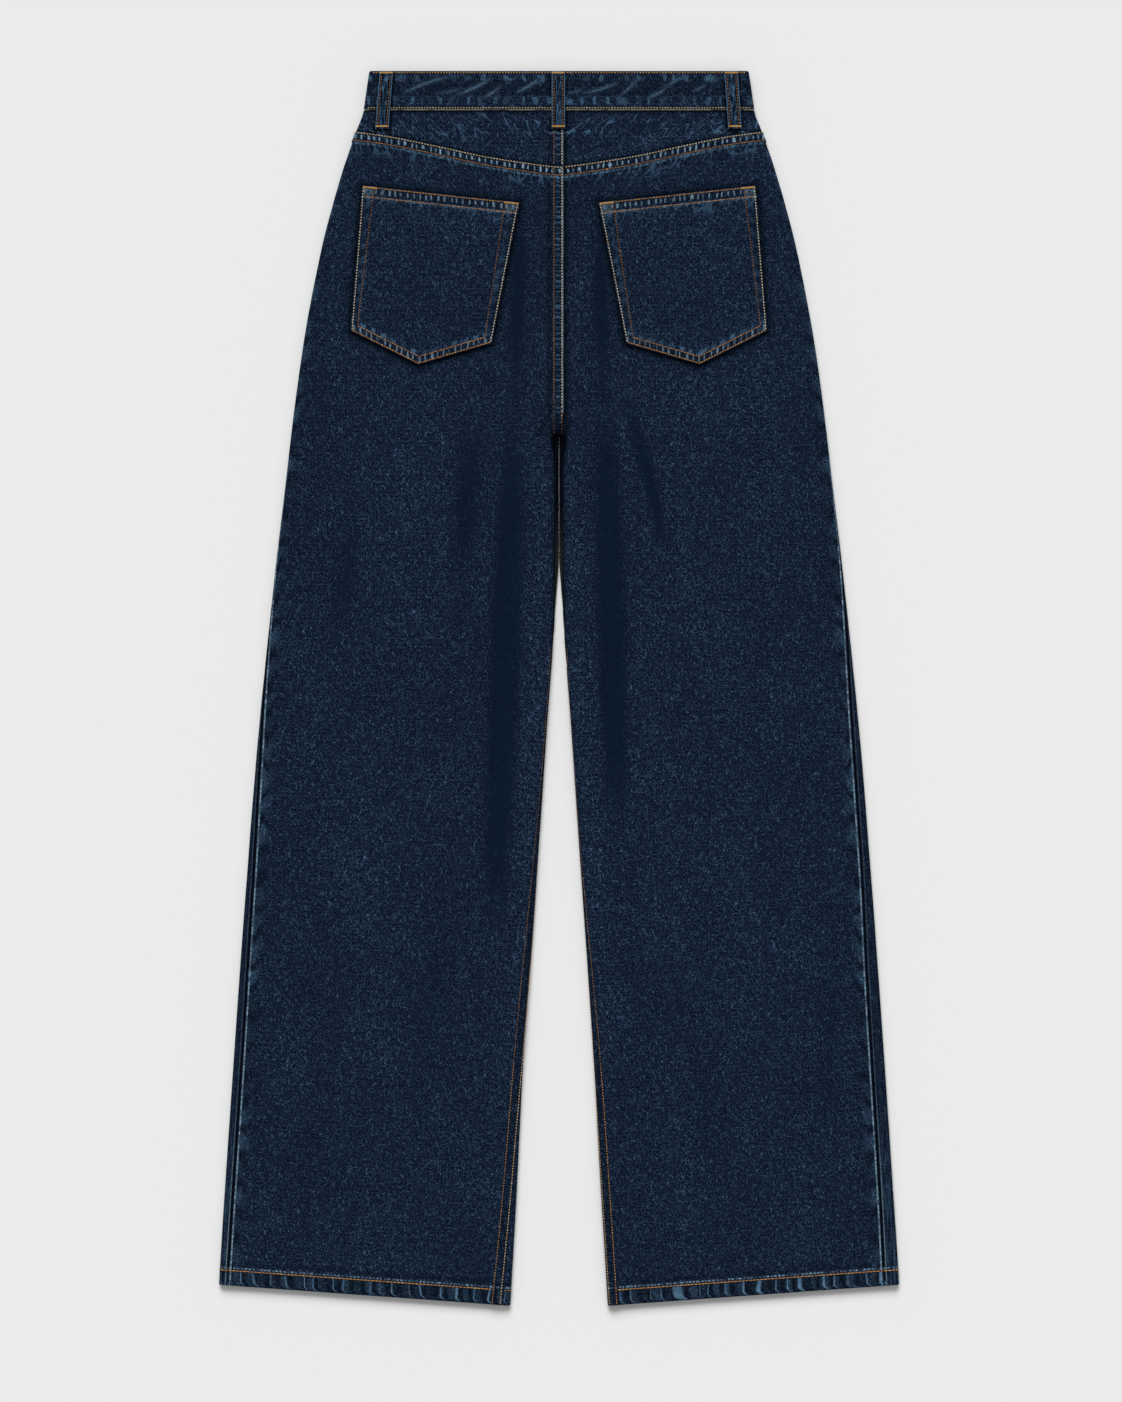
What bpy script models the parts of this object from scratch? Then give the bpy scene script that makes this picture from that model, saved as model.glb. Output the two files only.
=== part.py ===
"""Wide leg jeans, laid flat on their front, so that the back with its yoke and patch pockets is on top.

Metres, +Z up, +Y towards the waist, +X towards the wearer's right. The origin is on the surface they lie on, under
the middle of their outline. Tables and named sizes are in millimetres, and MM turns them into metres.

Each leg is a flattened tube. A cut across it at one distance down from the waist is a ring: over the top, round the
side edge, back along the surface and round the inner edge. Every panel is the stretch of that ring between two
seams, given the cloth's thickness inwards.
"""

import bisect
import functools
import math
from collections import namedtuple

import bmesh
import bpy
from mathutils import Vector

MM = 0.001
LEFT, RIGHT = -1, 1  # the wearer's sides, which are also the signs of X

# Cloth and seams
PLY = 1.2  # one layer of heavy denim
SEAM_GAP = 0.3  # between two pieces that a seam joins
FELL = 9.0  # width of a felled seam, which lies double on one side
FELL_STEP = 1.2  # over this width a felled seam falls to the single cloth
FELL_RAISE = 0.8
CENTRE_LAP = 4.0  # the left back laps this far over the centre line

# Lengths down from the waist edge
WAISTBAND = 34.5
CROTCH = 320.0
HEM_OUTER, HEM_INNER = 1062.9, 1081.3  # the hem's two corners: it runs square to the leg, which swings outwards
HEM_FOLD = 13.5
HEM_MID = (HEM_OUTER + HEM_INNER) / 2
LENGTH = HEM_INNER

# Half of the outline's width, at distances down the side
Side = namedtuple("Side", "down half_width")
SIDES = (
    Side(0, 166.2),
    Side(34.5, 171.2),
    Side(51, 177.2),
    Side(86, 189.4),
    Side(121, 199.5),
    Side(156, 208.3),
    Side(226, 221.9),
    Side(296, 232.0),
    Side(367, 240.3),
    Side(437, 248.6),
    Side(577, 263.1),
    Side(717, 274.5),
    Side(858, 284.6),
    Side(998, 294.2),
    Side(1063, 298.2),
)

# The gap between the legs, at distances down their inner edges: half of it between their tops, and lower down, where
# the legs touch for a while below the crotch
Gap = namedtuple("Gap", "down half_gap half_low")
GAPS = (
    Gap(320, 3.9, 0.2),
    Gap(425, 4.1, 0.2),
    Gap(441, 4.3, 1.0),
    Gap(463, 4.7, 2.8),
    Gap(484, 5.5, 4.4),
    Gap(507, 6.8, 6.2),
    Gap(542, 9.0, 8.8),
    Gap(577, 11.4, 11.4),
    Gap(717, 21.0, 21.0),
    Gap(858, 30.7, 30.7),
    Gap(998, 37.9, 37.9),
    Gap(1082, 42.7, 42.7),
)
LEDGE_TOP, LEDGE_SEAM = 3.9, 1.95  # where the legs touch: the height of the ledge and of its edge

# How the cloth lies: the lowest and highest faces, the top of the roll along each edge, and how wide that roll is
Form = namedtuple("Form", "down floor crown side_top side_round inner_top inner_round")
FORMS = (
    Form(30, 2.3, 6.4, 6.4, 2.1, 6.6, 5.5),
    Form(54, 2.3, 6.4, 6.4, 2.1, 6.7, 5.5),
    Form(84, 0.0, 6.2, 6.2, 3.1, 7.0, 5.5),
    Form(200, 0.0, 6.0, 6.3, 3.2, 8.0, 6.0),
    Form(300, 0.0, 6.0, 6.4, 3.2, 9.6, 7.0),
    Form(340, 0.0, 6.0, 6.4, 3.2, 10.2, 7.0),
    Form(430, 0.0, 5.6, 6.4, 3.2, 9.2, 6.0),
    Form(560, 0.0, 5.0, 6.2, 3.1, 7.4, 4.4),
    Form(750, 0.0, 4.6, 6.0, 3.0, 6.6, 3.6),
    Form(950, 0.0, 4.6, 5.8, 2.9, 6.4, 3.4),
    Form(1040, 0.0, 5.4, 6.2, 3.1, 6.4, 3.2),
    Form(1082, 0.0, 6.2, 6.6, 3.3, 6.8, 3.4),
)
ROLL_WIDTH = 17.0  # the rolls along the edges die out over about this distance
LEAST_TOP = 3.4  # the back never sinks into the front

# How far the side seam and the inseam have turned from the edges onto the back, or under the front if negative
Turn = namedtuple("Turn", "down side_left side_right inner_left inner_right")
TURNS = (
    Turn(60, -5.4, -5.4, 0.0, 0.0),
    Turn(120, -5.4, -5.2, 0.0, 0.0),
    Turn(215, -3.6, -3.0, 0.0, 0.0),
    Turn(325, -2.0, -1.2, 0.0, 0.0),
    Turn(393, -0.8, 0.2, 0.0, 0.0),
    Turn(425, -0.3, 1.2, -0.3, -0.3),
    Turn(457, 0.2, 2.4, -1.6, -2.0),
    Turn(505, 1.8, 4.7, -4.2, -4.8),
    Turn(553, 3.4, 6.9, -5.0, -6.5),
    Turn(610, 5.4, 8.4, -4.5, -6.3),
    Turn(668, 6.8, 9.2, -3.4, -5.8),
    Turn(712, 7.6, 9.7, -2.2, -4.8),
    Turn(802, 8.4, 11.9, 0.3, -2.8),
    Turn(892, 9.0, 12.8, 2.9, -0.6),
    Turn(990, 9.2, 13.6, 6.3, 1.2),
    Turn(1082, 9.4, 15.0, 10.2, 2.0),
)

# Soft folds on the back: a line across the garment and down, its half width, and its height, or depth if negative
Fold = namedtuple("Fold", "side across_from down_from across_to down_to width height")
FOLDS = (
    Fold(LEFT, 33, 110, 39, 300, 8, -1.3),
    Fold(LEFT, 38, 270, 58, 780, 13, -2.0),
    Fold(LEFT, 74, 290, 88, 470, 15, -1.1),
    Fold(LEFT, 146, 270, 128, 540, 14, 1.0),
    Fold(LEFT, 182, 350, 188, 520, 13, -0.8),
    Fold(LEFT, 206, 560, 150, 900, 18, 0.7),
    Fold(LEFT, 96, 640, 128, 1000, 20, -0.6),
    Fold(RIGHT, 33, 105, 40, 300, 8, -1.3),
    Fold(RIGHT, 40, 265, 52, 690, 12, -2.0),
    Fold(RIGHT, 58, 275, 100, 440, 8, -1.4),
    Fold(RIGHT, 78, 265, 134, 560, 8, 1.3),
    Fold(RIGHT, 116, 640, 196, 800, 20, 0.9),
    Fold(RIGHT, 232, 700, 240, 1000, 14, -0.6),
    Fold(RIGHT, 118, 820, 142, 1010, 18, -0.6),
)

# The seam between the yoke and the leg: how far down it lies, at distances out from the centre
Yoke = namedtuple("Yoke", "down seam_down")  # its first column is the distance out from the centre line
YOKES = (
    Yoke(-6, 83.0),
    Yoke(3, 82.9),
    Yoke(32, 79.1),
    Yoke(69, 73.0),
    Yoke(106, 65.0),
    Yoke(149, 56.3),
    Yoke(190, 51.0),
)

# Back patch pocket: corners as (out from the centre, down from the waist)
POCKET_TOP_INNER, POCKET_TOP_OUTER = (34.5, 115.1), (172.3, 100.2)
POCKET_LOW_INNER, POCKET_LOW_OUTER = (58.7, 238.7), (182.5, 227.8)
POCKET_TIP = (123.2, 257.5)
POCKET_HEM, POCKET_RIM = 10.0, 8.0  # folded edges, at the mouth and round the rest
POCKET_RAISE = 0.7

# Waistband, belt loops and button
BAND_PLY = 2.4
BAND_FLOOR, BAND_TOP = 2.3, 7.9
TAB_END = 16.0  # the buttoned end of the waistband, past the centre front
LOOP_WIDTH, LOOP_PLY, LOOP_DOWN, LOOP_SLACK = 12.0, 1.7, 51.0, 1.2
Loop = namedtuple("Loop", "name across_top across_low on_back")
LOOPS = (
    Loop("belt_loop_back", -0.5, -0.5, True),
    Loop("belt_loop_back_left", -151.0, -155.0, True),
    Loop("belt_loop_back_right", 150.5, 154.0, True),
    Loop("belt_loop_front_left", -88.0, -89.0, False),
    Loop("belt_loop_front_right", 88.0, 89.0, False),
)
BUTTON_RADIUS, BUTTON_HEIGHT, BUTTON_DOWN = 8.5, 2.0, 17.0

# Front pocket: the mouth is scooped out of the front panel, and a facing fills it
SCOOP_WIDTH, SCOOP_DOWN, SCOOP_POWER, FACING_RECESS = 62.0, 110.0, 1.7, 0.8

DENIM_COLOUR = (0.0105, 0.0200, 0.0420, 1.0)
BUTTON_COLOUR = (0.42, 0.30, 0.16, 1.0)


def smooth(value):
    value = min(max(value, 0.0), 1.0)
    return value * value * (3 - 2 * value)


def quarter_round(value):
    """The height, from 0 to 1, of a quarter circle at this share of its radius."""
    value = min(max(value, 0.0), 1.0)
    return math.sqrt(1 - (1 - value) ** 2)


@functools.lru_cache(maxsize=None)
def column(table, field):
    return [row[0] for row in table], [getattr(row, field) for row in table]


def read(table, field, down):
    """A smooth curve through one column of a table, read at this distance."""
    at, values = column(table, field)
    down = min(max(down, at[0]), at[-1])
    k = min(max(bisect.bisect_right(at, down) - 1, 0), len(at) - 2)

    def slope(n):
        low, high = max(n - 1, 0), min(n + 1, len(at) - 1)
        if low < n < high and (values[n] - values[low]) * (values[high] - values[n]) <= 0:
            return 0.0
        return (values[high] - values[low]) / (at[high] - at[low])

    step = at[k + 1] - at[k]
    t = (down - at[k]) / step
    start = (2 * t**3 - 3 * t**2 + 1) * values[k] + (t**3 - 2 * t**2 + t) * step * slope(k)
    end = (3 * t**2 - 2 * t**3) * values[k + 1] + (t**3 - t**2) * step * slope(k + 1)
    return start + end


def lean(down):
    """How much a cut across the leg tilts, as a slope, from level at the crotch to the hem's own slope."""
    width = read(SIDES, "half_width", HEM_OUTER) - read(GAPS, "half_gap", HEM_INNER)
    return (HEM_INNER - HEM_OUTER) / width * smooth((down - CROTCH) / (HEM_MID - CROTCH))


def gap(kind, down):
    """Half of the gap between the legs, of this kind, at the inner end of the cut at this distance."""
    half = (read(SIDES, "half_width", down) - read(GAPS, "half_gap", down)) / 2
    return read(GAPS, kind, down + lean(down) * half)


def edges(down):
    """The inner and outer edge of the cut at this distance down the middle of the leg."""
    half = (read(SIDES, "half_width", down) - read(GAPS, "half_gap", down)) / 2
    outer = read(SIDES, "half_width", down - lean(down) * half)
    return gap("half_low", down) if down > CROTCH else 0.0, outer


def past_lip(across, down):
    """The distance from the top of the gap between the legs, whose upper end is round."""
    half_gap = gap("half_gap", down)
    return math.hypot(across, max(CROTCH + half_gap - down, 0.0)) - half_gap


def ledge(down):
    """From 0 to 1, how far the inner edge is a ledge that meets the other leg's."""
    return smooth((gap("half_gap", down) - gap("half_low", down)) / 3)


def fold_height(side, across, down):
    total = 0.0
    for fold in FOLDS:
        share = (down - fold.down_from) / (fold.down_to - fold.down_from)
        if fold.side != side or not 0 < share < 1:
            continue
        middle = fold.across_from + (fold.across_to - fold.across_from) * share
        fade = math.sin(math.pi * share) ** 0.8
        total += fold.height * fade * math.exp(-(((across - middle) / fold.width) ** 2))
    return total


def top_height(side, across, down):
    """The height of the back's face, before it turns down at an edge."""
    outer = edges(down)[1]
    inner = read(GAPS, "half_gap", down) * smooth((down - CROTCH + 60) / 90)
    crown = read(FORMS, "crown", down)
    at_side = math.exp(-(((outer - across) / ROLL_WIDTH) ** 2))
    at_inner = math.exp(-(((abs(across) - inner) / ROLL_WIDTH) ** 2))
    height = crown + (read(FORMS, "side_top", down) - crown) * at_side
    height += (read(FORMS, "inner_top", down) - crown) * at_inner
    height += fold_height(side, across, down) * (1 - at_side)
    return max(height, LEAST_TOP)


def seam_height(down, side_of_seam):
    """The height at which back, as 1, or front, as -1, ends at the inner edge. At the crotch they part."""
    plain, low = 0.45 * read(FORMS, "inner_top", down), LEDGE_SEAM
    return plain + (low - plain) * ledge(down) + 1.6 * (1 - smooth((down - CROTCH) / 12)) * side_of_seam


def back_height(side, across, down):
    """The height of the back's face, turned down towards the gap between the legs."""
    seam = seam_height(down, 1)
    low = seam + (LEDGE_TOP - seam) * ledge(down)
    rolled = past_lip(across, down) / read(FORMS, "inner_round", down)
    if rolled > 0:
        return low + (top_height(side, abs(across), down) - low) * quarter_round(rolled)
    return seam + (low - seam) * quarter_round((across - edges(down)[0]) / 1.6)


def front_height(across, down):
    """The height of the front's face, which lies on the surface and turns up at the inner edge."""
    floor = read(FORMS, "floor", down)
    if down <= CROTCH:
        return floor
    radius = 0.8 * read(FORMS, "inner_round", down)
    radius += (1.8 - radius) * ledge(down)
    roll = quarter_round((across - edges(down)[0]) / radius)
    return floor + (seam_height(down, -1) - floor) * (1 - roll)


@functools.lru_cache(maxsize=None)
def ring(side, down):
    """The outer face at one cut across: points (across, height), their lengths along, and where the side edge is.

    Lengths count from the centre line, or from the inner edge of the leg below the crotch."""
    inner, outer = edges(down)
    side_round = read(FORMS, "side_round", down)
    inner_round = read(FORMS, "inner_round", down)
    floor = read(FORMS, "floor", down)
    legged = down > CROTCH
    turns = [1 - math.cos(math.radians(a)) for a in range(0, 91, 9)]
    if legged:
        lip = gap("half_gap", down)
        near = [inner + 1.6 * t for t in turns if inner + 1.6 * t < lip - 0.05] + [lip + inner_round * t for t in turns]
        under = [inner + inner_round * t for t in turns]
    else:
        near = [n - 3 * CENTRE_LAP for n in range(0, 25)]
        under = list(range(0, 19))
    last = outer - side_round
    middle = [near[-1] + (last - near[-1]) * n / 48 for n in range(1, 48)]
    points = [(x, back_height(side, x, down)) for x in near + middle]
    half = (back_height(side, last, down) - floor) / 2
    for angle in range(90, -91, -10):
        across = last + side_round * math.cos(math.radians(angle))
        points.append((across, floor + half + half * math.sin(math.radians(angle))))
    edge_at = len(points) - 10
    flat = [last + (under[-1] - last) * n / 48 for n in range(1, 48)]
    points += [(x, front_height(x, down)) for x in flat + under[::-1]]
    lengths = [0.0]
    for (x0, z0), (x1, z1) in zip(points, points[1:]):
        lengths.append(lengths[-1] + math.hypot(x1 - x0, z1 - z0))
    offset = 0.0 if legged else lengths[3 * int(CENTRE_LAP)]
    return points, [length - offset for length in lengths], lengths[edge_at] - offset


def around(side, down):
    """The whole length of the ring, from the centre back or inner edge to the centre front or inner edge."""
    return ring(side, down)[1][-1]


def on_ring(side, down, length, lift=0.0):
    """The point this far along the ring, lifted off its face, as a Vector in metres."""
    points, lengths, _ = ring(side, down)
    if down > CROTCH:
        length %= lengths[-1]
    k = min(max(bisect.bisect_right(lengths, length) - 1, 0), len(points) - 2)
    (x0, z0), (x1, z1) = points[k], points[k + 1]
    step = lengths[k + 1] - lengths[k]
    share = (length - lengths[k]) / step
    across = x0 + (x1 - x0) * share - (z1 - z0) / step * lift
    height = max(z0 + (z1 - z0) * share + (x1 - x0) / step * lift, 0.0)
    inner, outer = edges(down)
    at = down + lean(down) * ((inner + outer) / 2 - across)
    return Vector((side * across, LENGTH / 2 - at, height)) * MM


def turn(kind, side, down):
    return read(TURNS, f"{kind}_{'left' if side == LEFT else 'right'}", down)


def centre_lap(side, down):
    """Where the centre back seam lies, out from the centre line on this side."""
    return side * CENTRE_LAP * (1 - smooth((down - CROTCH + 24) / 24))


def paint(name, colour, roughness, metallic):
    material = bpy.data.materials.new(name)
    material.use_nodes = True
    shader = material.node_tree.nodes["Principled BSDF"]
    shader.inputs["Base Color"].default_value = colour
    shader.inputs["Roughness"].default_value = roughness
    shader.inputs["Metallic"].default_value = metallic
    material.diffuse_color = colour
    return material


def finish(name, mesh_maker, material):
    """Turns a bmesh into the named object, smooth but for its rims."""
    bmesh.ops.recalc_face_normals(mesh_maker, faces=mesh_maker.faces)
    mesh = bpy.data.meshes.new(name)
    mesh_maker.to_mesh(mesh)
    mesh_maker.free()
    mesh.shade_smooth()
    mesh.set_sharp_from_angle(angle=math.radians(40))
    mesh.materials.append(material)
    thing = bpy.data.objects.new(name, mesh)
    bpy.context.scene.collection.objects.link(thing)
    return thing


def wall(name, rows, plies, outward_up, beyond=False):
    """A wall of cloth from rows of points on its outer face, each with its own thickness in millimetres.

    outward_up says whether the outer face looks the way that a grid's own faces do. With beyond, each row starts and
    ends with a point past its seam, which only sets the way that the cut edge faces."""
    maker = bmesh.new()
    count, depth = len(rows[0]), len(rows)
    bmesh.ops.create_grid(maker, x_segments=count - 1, y_segments=depth - 1, size=0.5)
    place = maker.verts.layers.int.new("place")
    for vert in maker.verts:
        i = round((vert.co.x + 0.5) * (count - 1))
        j = round((vert.co.y + 0.5) * (depth - 1))
        vert[place] = j * count + i
        vert.co = rows[j][i]
    if not outward_up:
        bmesh.ops.reverse_faces(maker, faces=maker.faces)
    maker.normal_update()
    inwards = {v[place]: -v.normal * plies[v[place] // count][v[place] % count] * MM for v in maker.verts}
    if beyond:
        past = [v for v in maker.verts if v[place] % count in (0, count - 1)]
        bmesh.ops.delete(maker, geom=past, context="VERTS")
    made = bmesh.ops.extrude_face_region(maker, geom=maker.faces[:], use_keep_orig=True)
    for vert in made["geom"]:
        if isinstance(vert, bmesh.types.BMVert):
            vert.co += inwards[vert[place]]
    return finish(name, maker, paint(f"{name}_denim", DENIM_COLOUR, 0.85, 0.0))


SHARED_DOWNS = (
    [110, 145, 180, 215, 250, 280, 302]
    + [CROTCH - 7 * (1 - math.cos(math.radians(a))) for a in (70, 45, 22, 0)]
    + [CROTCH + 3.9 * (1 - math.cos(math.radians(a))) for a in (40, 65, 89)]
    + [331, 345, 368, 393, 425, 457, 489, 521, 553, 588, 625, 668, 712, 757, 802, 840, 870, 900, 944, 990, 1025]
    + [HEM_MID - HEM_FOLD - 1.0, HEM_MID - HEM_FOLD, HEM_MID]
)
FELLED = 6  # the first columns of a back panel or yoke lie on the felled seam


def hem_ply(down):
    return PLY + (1.0 if down >= HEM_MID - HEM_FOLD else 0.0)


def spaced(start, end, count, power=1.0):
    return [start + (end - start) * (n / count) ** power for n in range(1, count)]


def back_lengths(side, down):
    """Where the columns of a back panel lie along the ring, from its centre or inner seam to its side seam."""
    if down <= CROTCH:
        start = centre_lap(side, down) + SEAM_GAP / 2
    else:
        start = turn("inner", side, down) + SEAM_GAP / 2
    edge = ring(side, down)[2]
    end = edge - turn("side", side, down) - SEAM_GAP / 2
    bend = min(edge, end) - 5.1
    stretch = 1 + 0.6 * smooth((down - 296) / 30) * (1 - smooth((down - 425) / 70))
    near = [start + d * stretch for d in (-1.6, 0.0, 1.6, 3.6, 6.2, FELL, FELL + FELL_STEP)]
    far = [bend + (end - bend) * n / 5 for n in range(7)]
    return near + spaced(near[-1], far[0], 10, 1.4) + far


def seam_down(side, length_of, offset):
    """The distance down at which a column meets the yoke seam, moved down by offset."""
    down = 70.0
    for _ in range(4):
        across = abs(on_ring(side, down, length_of(down)).x) / MM
        down = read(YOKES, "seam_down", across) + offset
    return down


def fell_lift(side, down, length, column_number):
    """How high the felled seam along the inner edge of a back panel stands: above the crotch it lies on the left.

    Below the crotch it is pressed flat where the inner edge has turned it underneath."""
    if column_number >= FELLED or (side == RIGHT and down < CROTCH):
        return 0.0
    if down < CROTCH:
        return FELL_RAISE * smooth((CROTCH - down) / 20)
    return FELL_RAISE * smooth((down - 450) / 60) * smooth((length + 4.5) / 3.5)


def back_leg(side, name):
    count = len(back_lengths(side, 200))
    rows, plies = [], []
    for step in (SEAM_GAP / 2, FELL, FELL + FELL_STEP, None, *SHARED_DOWNS):
        row, ply = [], []
        for n in range(count):

            def length_of(down, n=n):
                return back_lengths(side, down)[n]

            if step is None:
                down = (seam_down(side, length_of, FELL) + SHARED_DOWNS[0]) / 2
            elif step < 20:
                down = seam_down(side, length_of, step)
            else:
                down = step
            length = length_of(down)
            lift = FELL_RAISE if step is not None and step <= FELL else fell_lift(side, down, length, n)
            row.append(on_ring(side, down, length, lift))
            ply.append(hem_ply(down) + lift)
        rows.append(row)
        plies.append(ply)
    return wall(name, rows, plies, side == LEFT, beyond=True)


def yoke(side, name):
    count = len(back_lengths(side, 60))
    rows, plies = [], []
    for share in (0.0, 0.3, 0.6, 1.0):
        row, ply = [], []
        for n in range(count):

            def length_of(down, n=n):
                return back_lengths(side, down)[n]

            low = seam_down(side, length_of, -SEAM_GAP / 2)
            top = WAISTBAND + SEAM_GAP / 2
            down = top + (low - top) * share
            length = length_of(down)
            lift = fell_lift(side, down, length, n)
            row.append(on_ring(side, down, length, lift))
            ply.append(PLY + lift)
        rows.append(row)
        plies.append(ply)
    return wall(name, rows, plies, side == LEFT, beyond=True)


def scoop(down):
    """How wide the front pocket's mouth is, in from the side seam, at this distance down."""
    share = (down - WAISTBAND) / (SCOOP_DOWN - WAISTBAND)
    return SCOOP_WIDTH * (1 - share**SCOOP_POWER) if share < 1 else 0.0


def front_lengths(side, down):
    """Where the columns of a front panel lie along the ring, from its side edge to its centre or inner seam."""
    edge = ring(side, down)[2]
    whole = around(side, down)
    start = edge - turn("side", side, down) + scoop(down) + SEAM_GAP / 2
    end = whole + (turn("inner", side, down) if down > CROTCH else 0.0) - SEAM_GAP / 2
    bend = max(start + 1.5, edge - 5.2)
    bent = max(edge, start) + 5.2
    first = [start - 1.5, start] + [bend + (bent - bend) * n / 5 for n in range(6)]
    bend = min(whole, end) - 1.5 * read(FORMS, "inner_round", down)
    last = [bend + (end - bend) * n / 5 for n in range(7)]
    return first + spaced(first[-1], last[0], 3) + last


FRONT_TOP_DOWNS = [WAISTBAND + SEAM_GAP / 2, 46, 60, 74, 86, 97, 105]


def front_leg(side, name):
    rows, plies = [], []
    for down in FRONT_TOP_DOWNS + SHARED_DOWNS:
        lengths = front_lengths(side, down)
        rows.append([on_ring(side, down, length) for length in lengths])
        plies.append([hem_ply(down)] * len(lengths))
    return wall(name, rows, plies, side == LEFT, beyond=True)


def pocket_facing(side, name):
    """The cloth seen in the mouth of the front pocket, a little deeper than the front panel."""
    rows = []
    for down in FRONT_TOP_DOWNS:
        seam = ring(side, down)[2] - turn("side", side, down)
        start, end = seam + SEAM_GAP / 2, seam + scoop(down) - SEAM_GAP / 2
        turned = min(6.0, (end - start) / 2)
        flat = [start + turned + (end - start - turned) * n / 4 for n in range(6)]
        recess = FACING_RECESS * smooth((end - start) / 20 - 0.2)
        row = []
        for length in [start + turned * n / 4 for n in range(-1, 4)] + flat:
            inwards = recess * smooth((length - start) / turned - 0.5)
            row.append(on_ring(side, down, length, -inwards))
        rows.append(row)
    return wall(name, rows, [[PLY] * len(rows[0])] * len(rows), side == LEFT, beyond=True)


def band_ring(down):
    """The waistband's outer face at one height, as (across, height) points: centre front, over the back, and round."""
    half = read(SIDES, "half_width", 0) + (
        read(SIDES, "half_width", WAISTBAND) - read(SIDES, "half_width", 0)
    ) * (down / WAISTBAND)
    radius = (BAND_TOP - BAND_FLOOR) / 2
    middle = BAND_FLOOR + radius
    straight = half - radius
    points = [(x, BAND_FLOOR) for x in (TAB_END + SEAM_GAP, 60, 110, straight)]
    turned = range(-60, 90, 30)
    points += [(straight + radius * math.cos(math.radians(a)), middle + radius * math.sin(math.radians(a))) for a in turned]
    points += [(straight * n / 4, BAND_TOP) for n in range(4, -5, -1)]
    points += [(-x, z) for x, z in points[8:3:-1]]
    points += [(x, BAND_FLOOR) for x in (-straight, -110, -60, 0, TAB_END)]
    return points


def waistband():
    """A folded strip that runs round from one end of the fly to the other."""
    downs = (0.0, 1.2, WAISTBAND / 2, WAISTBAND - SEAM_GAP / 2)
    rows = []
    for down in downs:
        rows.append([Vector((x, LENGTH / 2 - down, z)) * MM for x, z in band_ring(down)])
    plies = [[BAND_PLY] * len(row) for row in rows]
    return wall("waistband", rows, plies, True)


def back_point(across, down, lift):
    """A point above the back's face, by its place across and down, above the crotch."""
    side = LEFT if across < 0 else RIGHT
    height = back_height(side, abs(across), down) + lift
    return Vector((across, LENGTH / 2 - down, height)) * MM


def patch_pocket(side, name):
    """A patch with five corners, its folded edges thicker than its middle, lying on the back leg."""

    def between(a, b, share):
        return a[0] + (b[0] - a[0]) * share, a[1] + (b[1] - a[1]) * share

    width = POCKET_TOP_OUTER[0] - POCKET_TOP_INNER[0]
    height = POCKET_TIP[1] - POCKET_TOP_INNER[1]
    rim, step, mouth = POCKET_RIM / width, FELL_STEP / width, POCKET_HEM / height
    shares_across = (0, rim, rim + step, 0.22, 0.36, 0.5, 0.64, 0.78, 1 - rim - step, 1 - rim, 1)
    shares_down = (0, mouth, mouth + step, 0.25, 0.42, 0.58, 0.75, 1 - rim - step, 1 - rim, 1)
    rows, plies = [], []
    for v in shares_down:
        row, ply = [], []
        for u in shares_across:
            top = between(POCKET_TOP_INNER, POCKET_TOP_OUTER, u)
            if u <= 0.5:
                low = between(POCKET_LOW_INNER, POCKET_TIP, u * 2)
            else:
                low = between(POCKET_TIP, POCKET_LOW_OUTER, u * 2 - 1)
            across, down = between(top, low, v)
            edge = min(u, 1 - u) <= rim + 1e-6 or v <= mouth + 1e-6 or v >= 1 - rim - 1e-6
            raised = POCKET_RAISE if edge else 0.0
            row.append(back_point(side * across, down, SEAM_GAP + 0.15 + PLY + raised))
            ply.append(PLY + raised)
        rows.append(row)
        plies.append(ply)
    return wall(name, rows, plies, side == LEFT)


def belt_loop(loop):
    """A strip from the waistband's edge to the cloth below it, standing a little off the band."""
    rows = []
    steps = (0.0, 0.12, 0.3, 0.5, 0.68, 0.82, 0.92, 1.0)
    across_steps = (-0.5, -0.38, 0.0, 0.38, 0.5)
    for share in steps:
        down = 0.6 + (LOOP_DOWN - 0.6) * share
        middle = loop.across_top + (loop.across_low - loop.across_top) * share
        slack = LOOP_SLACK * math.sin(math.pi * min(share / 0.85, 1.0))
        row = []
        for n in across_steps:
            across = middle + n * LOOP_WIDTH
            rounded = 0.35 if abs(n) == 0.5 else 0.0
            if loop.on_back:
                under = BAND_TOP if down < WAISTBAND + 4 else BAND_TOP - 0.5 * smooth((down - WAISTBAND - 4) / 8)
                height = under + SEAM_GAP + LOOP_PLY + slack - rounded
            else:
                height = BAND_FLOOR - SEAM_GAP - LOOP_PLY + rounded
            row.append(Vector((across, LENGTH / 2 - down, height)) * MM)
        rows.append(row)
    plies = [[LOOP_PLY - (0.35 if abs(n) == 0.5 else 0.0) for n in across_steps]] * len(rows)
    return wall(loop.name, rows, plies, not loop.on_back)


def waist_button():
    """The tack button under the waistband's end: a low dome with a raised rim, face down."""
    maker = bmesh.new()
    profile = (
        (0.0, 0.5),
        (0.62, 0.45),
        (0.72, 0.0),
        (0.92, 0.0),
        (1.0, 0.4),
        (0.96, BUTTON_HEIGHT),
        (0.0, BUTTON_HEIGHT),
    )
    verts = [
        maker.verts.new(Vector((radius * BUTTON_RADIUS, 0.0, height)) * MM) for radius, height in profile
    ]
    line = [maker.edges.new(pair) for pair in zip(verts, verts[1:])]
    bmesh.ops.spin(
        maker, geom=verts + line, axis=(0, 0, 1), cent=(0, 0, 0), angle=math.tau, steps=20, use_merge=True
    )
    bmesh.ops.remove_doubles(maker, verts=maker.verts, dist=0.01 * MM)
    bmesh.ops.translate(maker, verts=maker.verts, vec=(0.0, (LENGTH / 2 - BUTTON_DOWN) * MM, 0.0))
    return finish("waist_button", maker, paint("button_metal", BUTTON_COLOUR, 0.4, 1.0))


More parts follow.
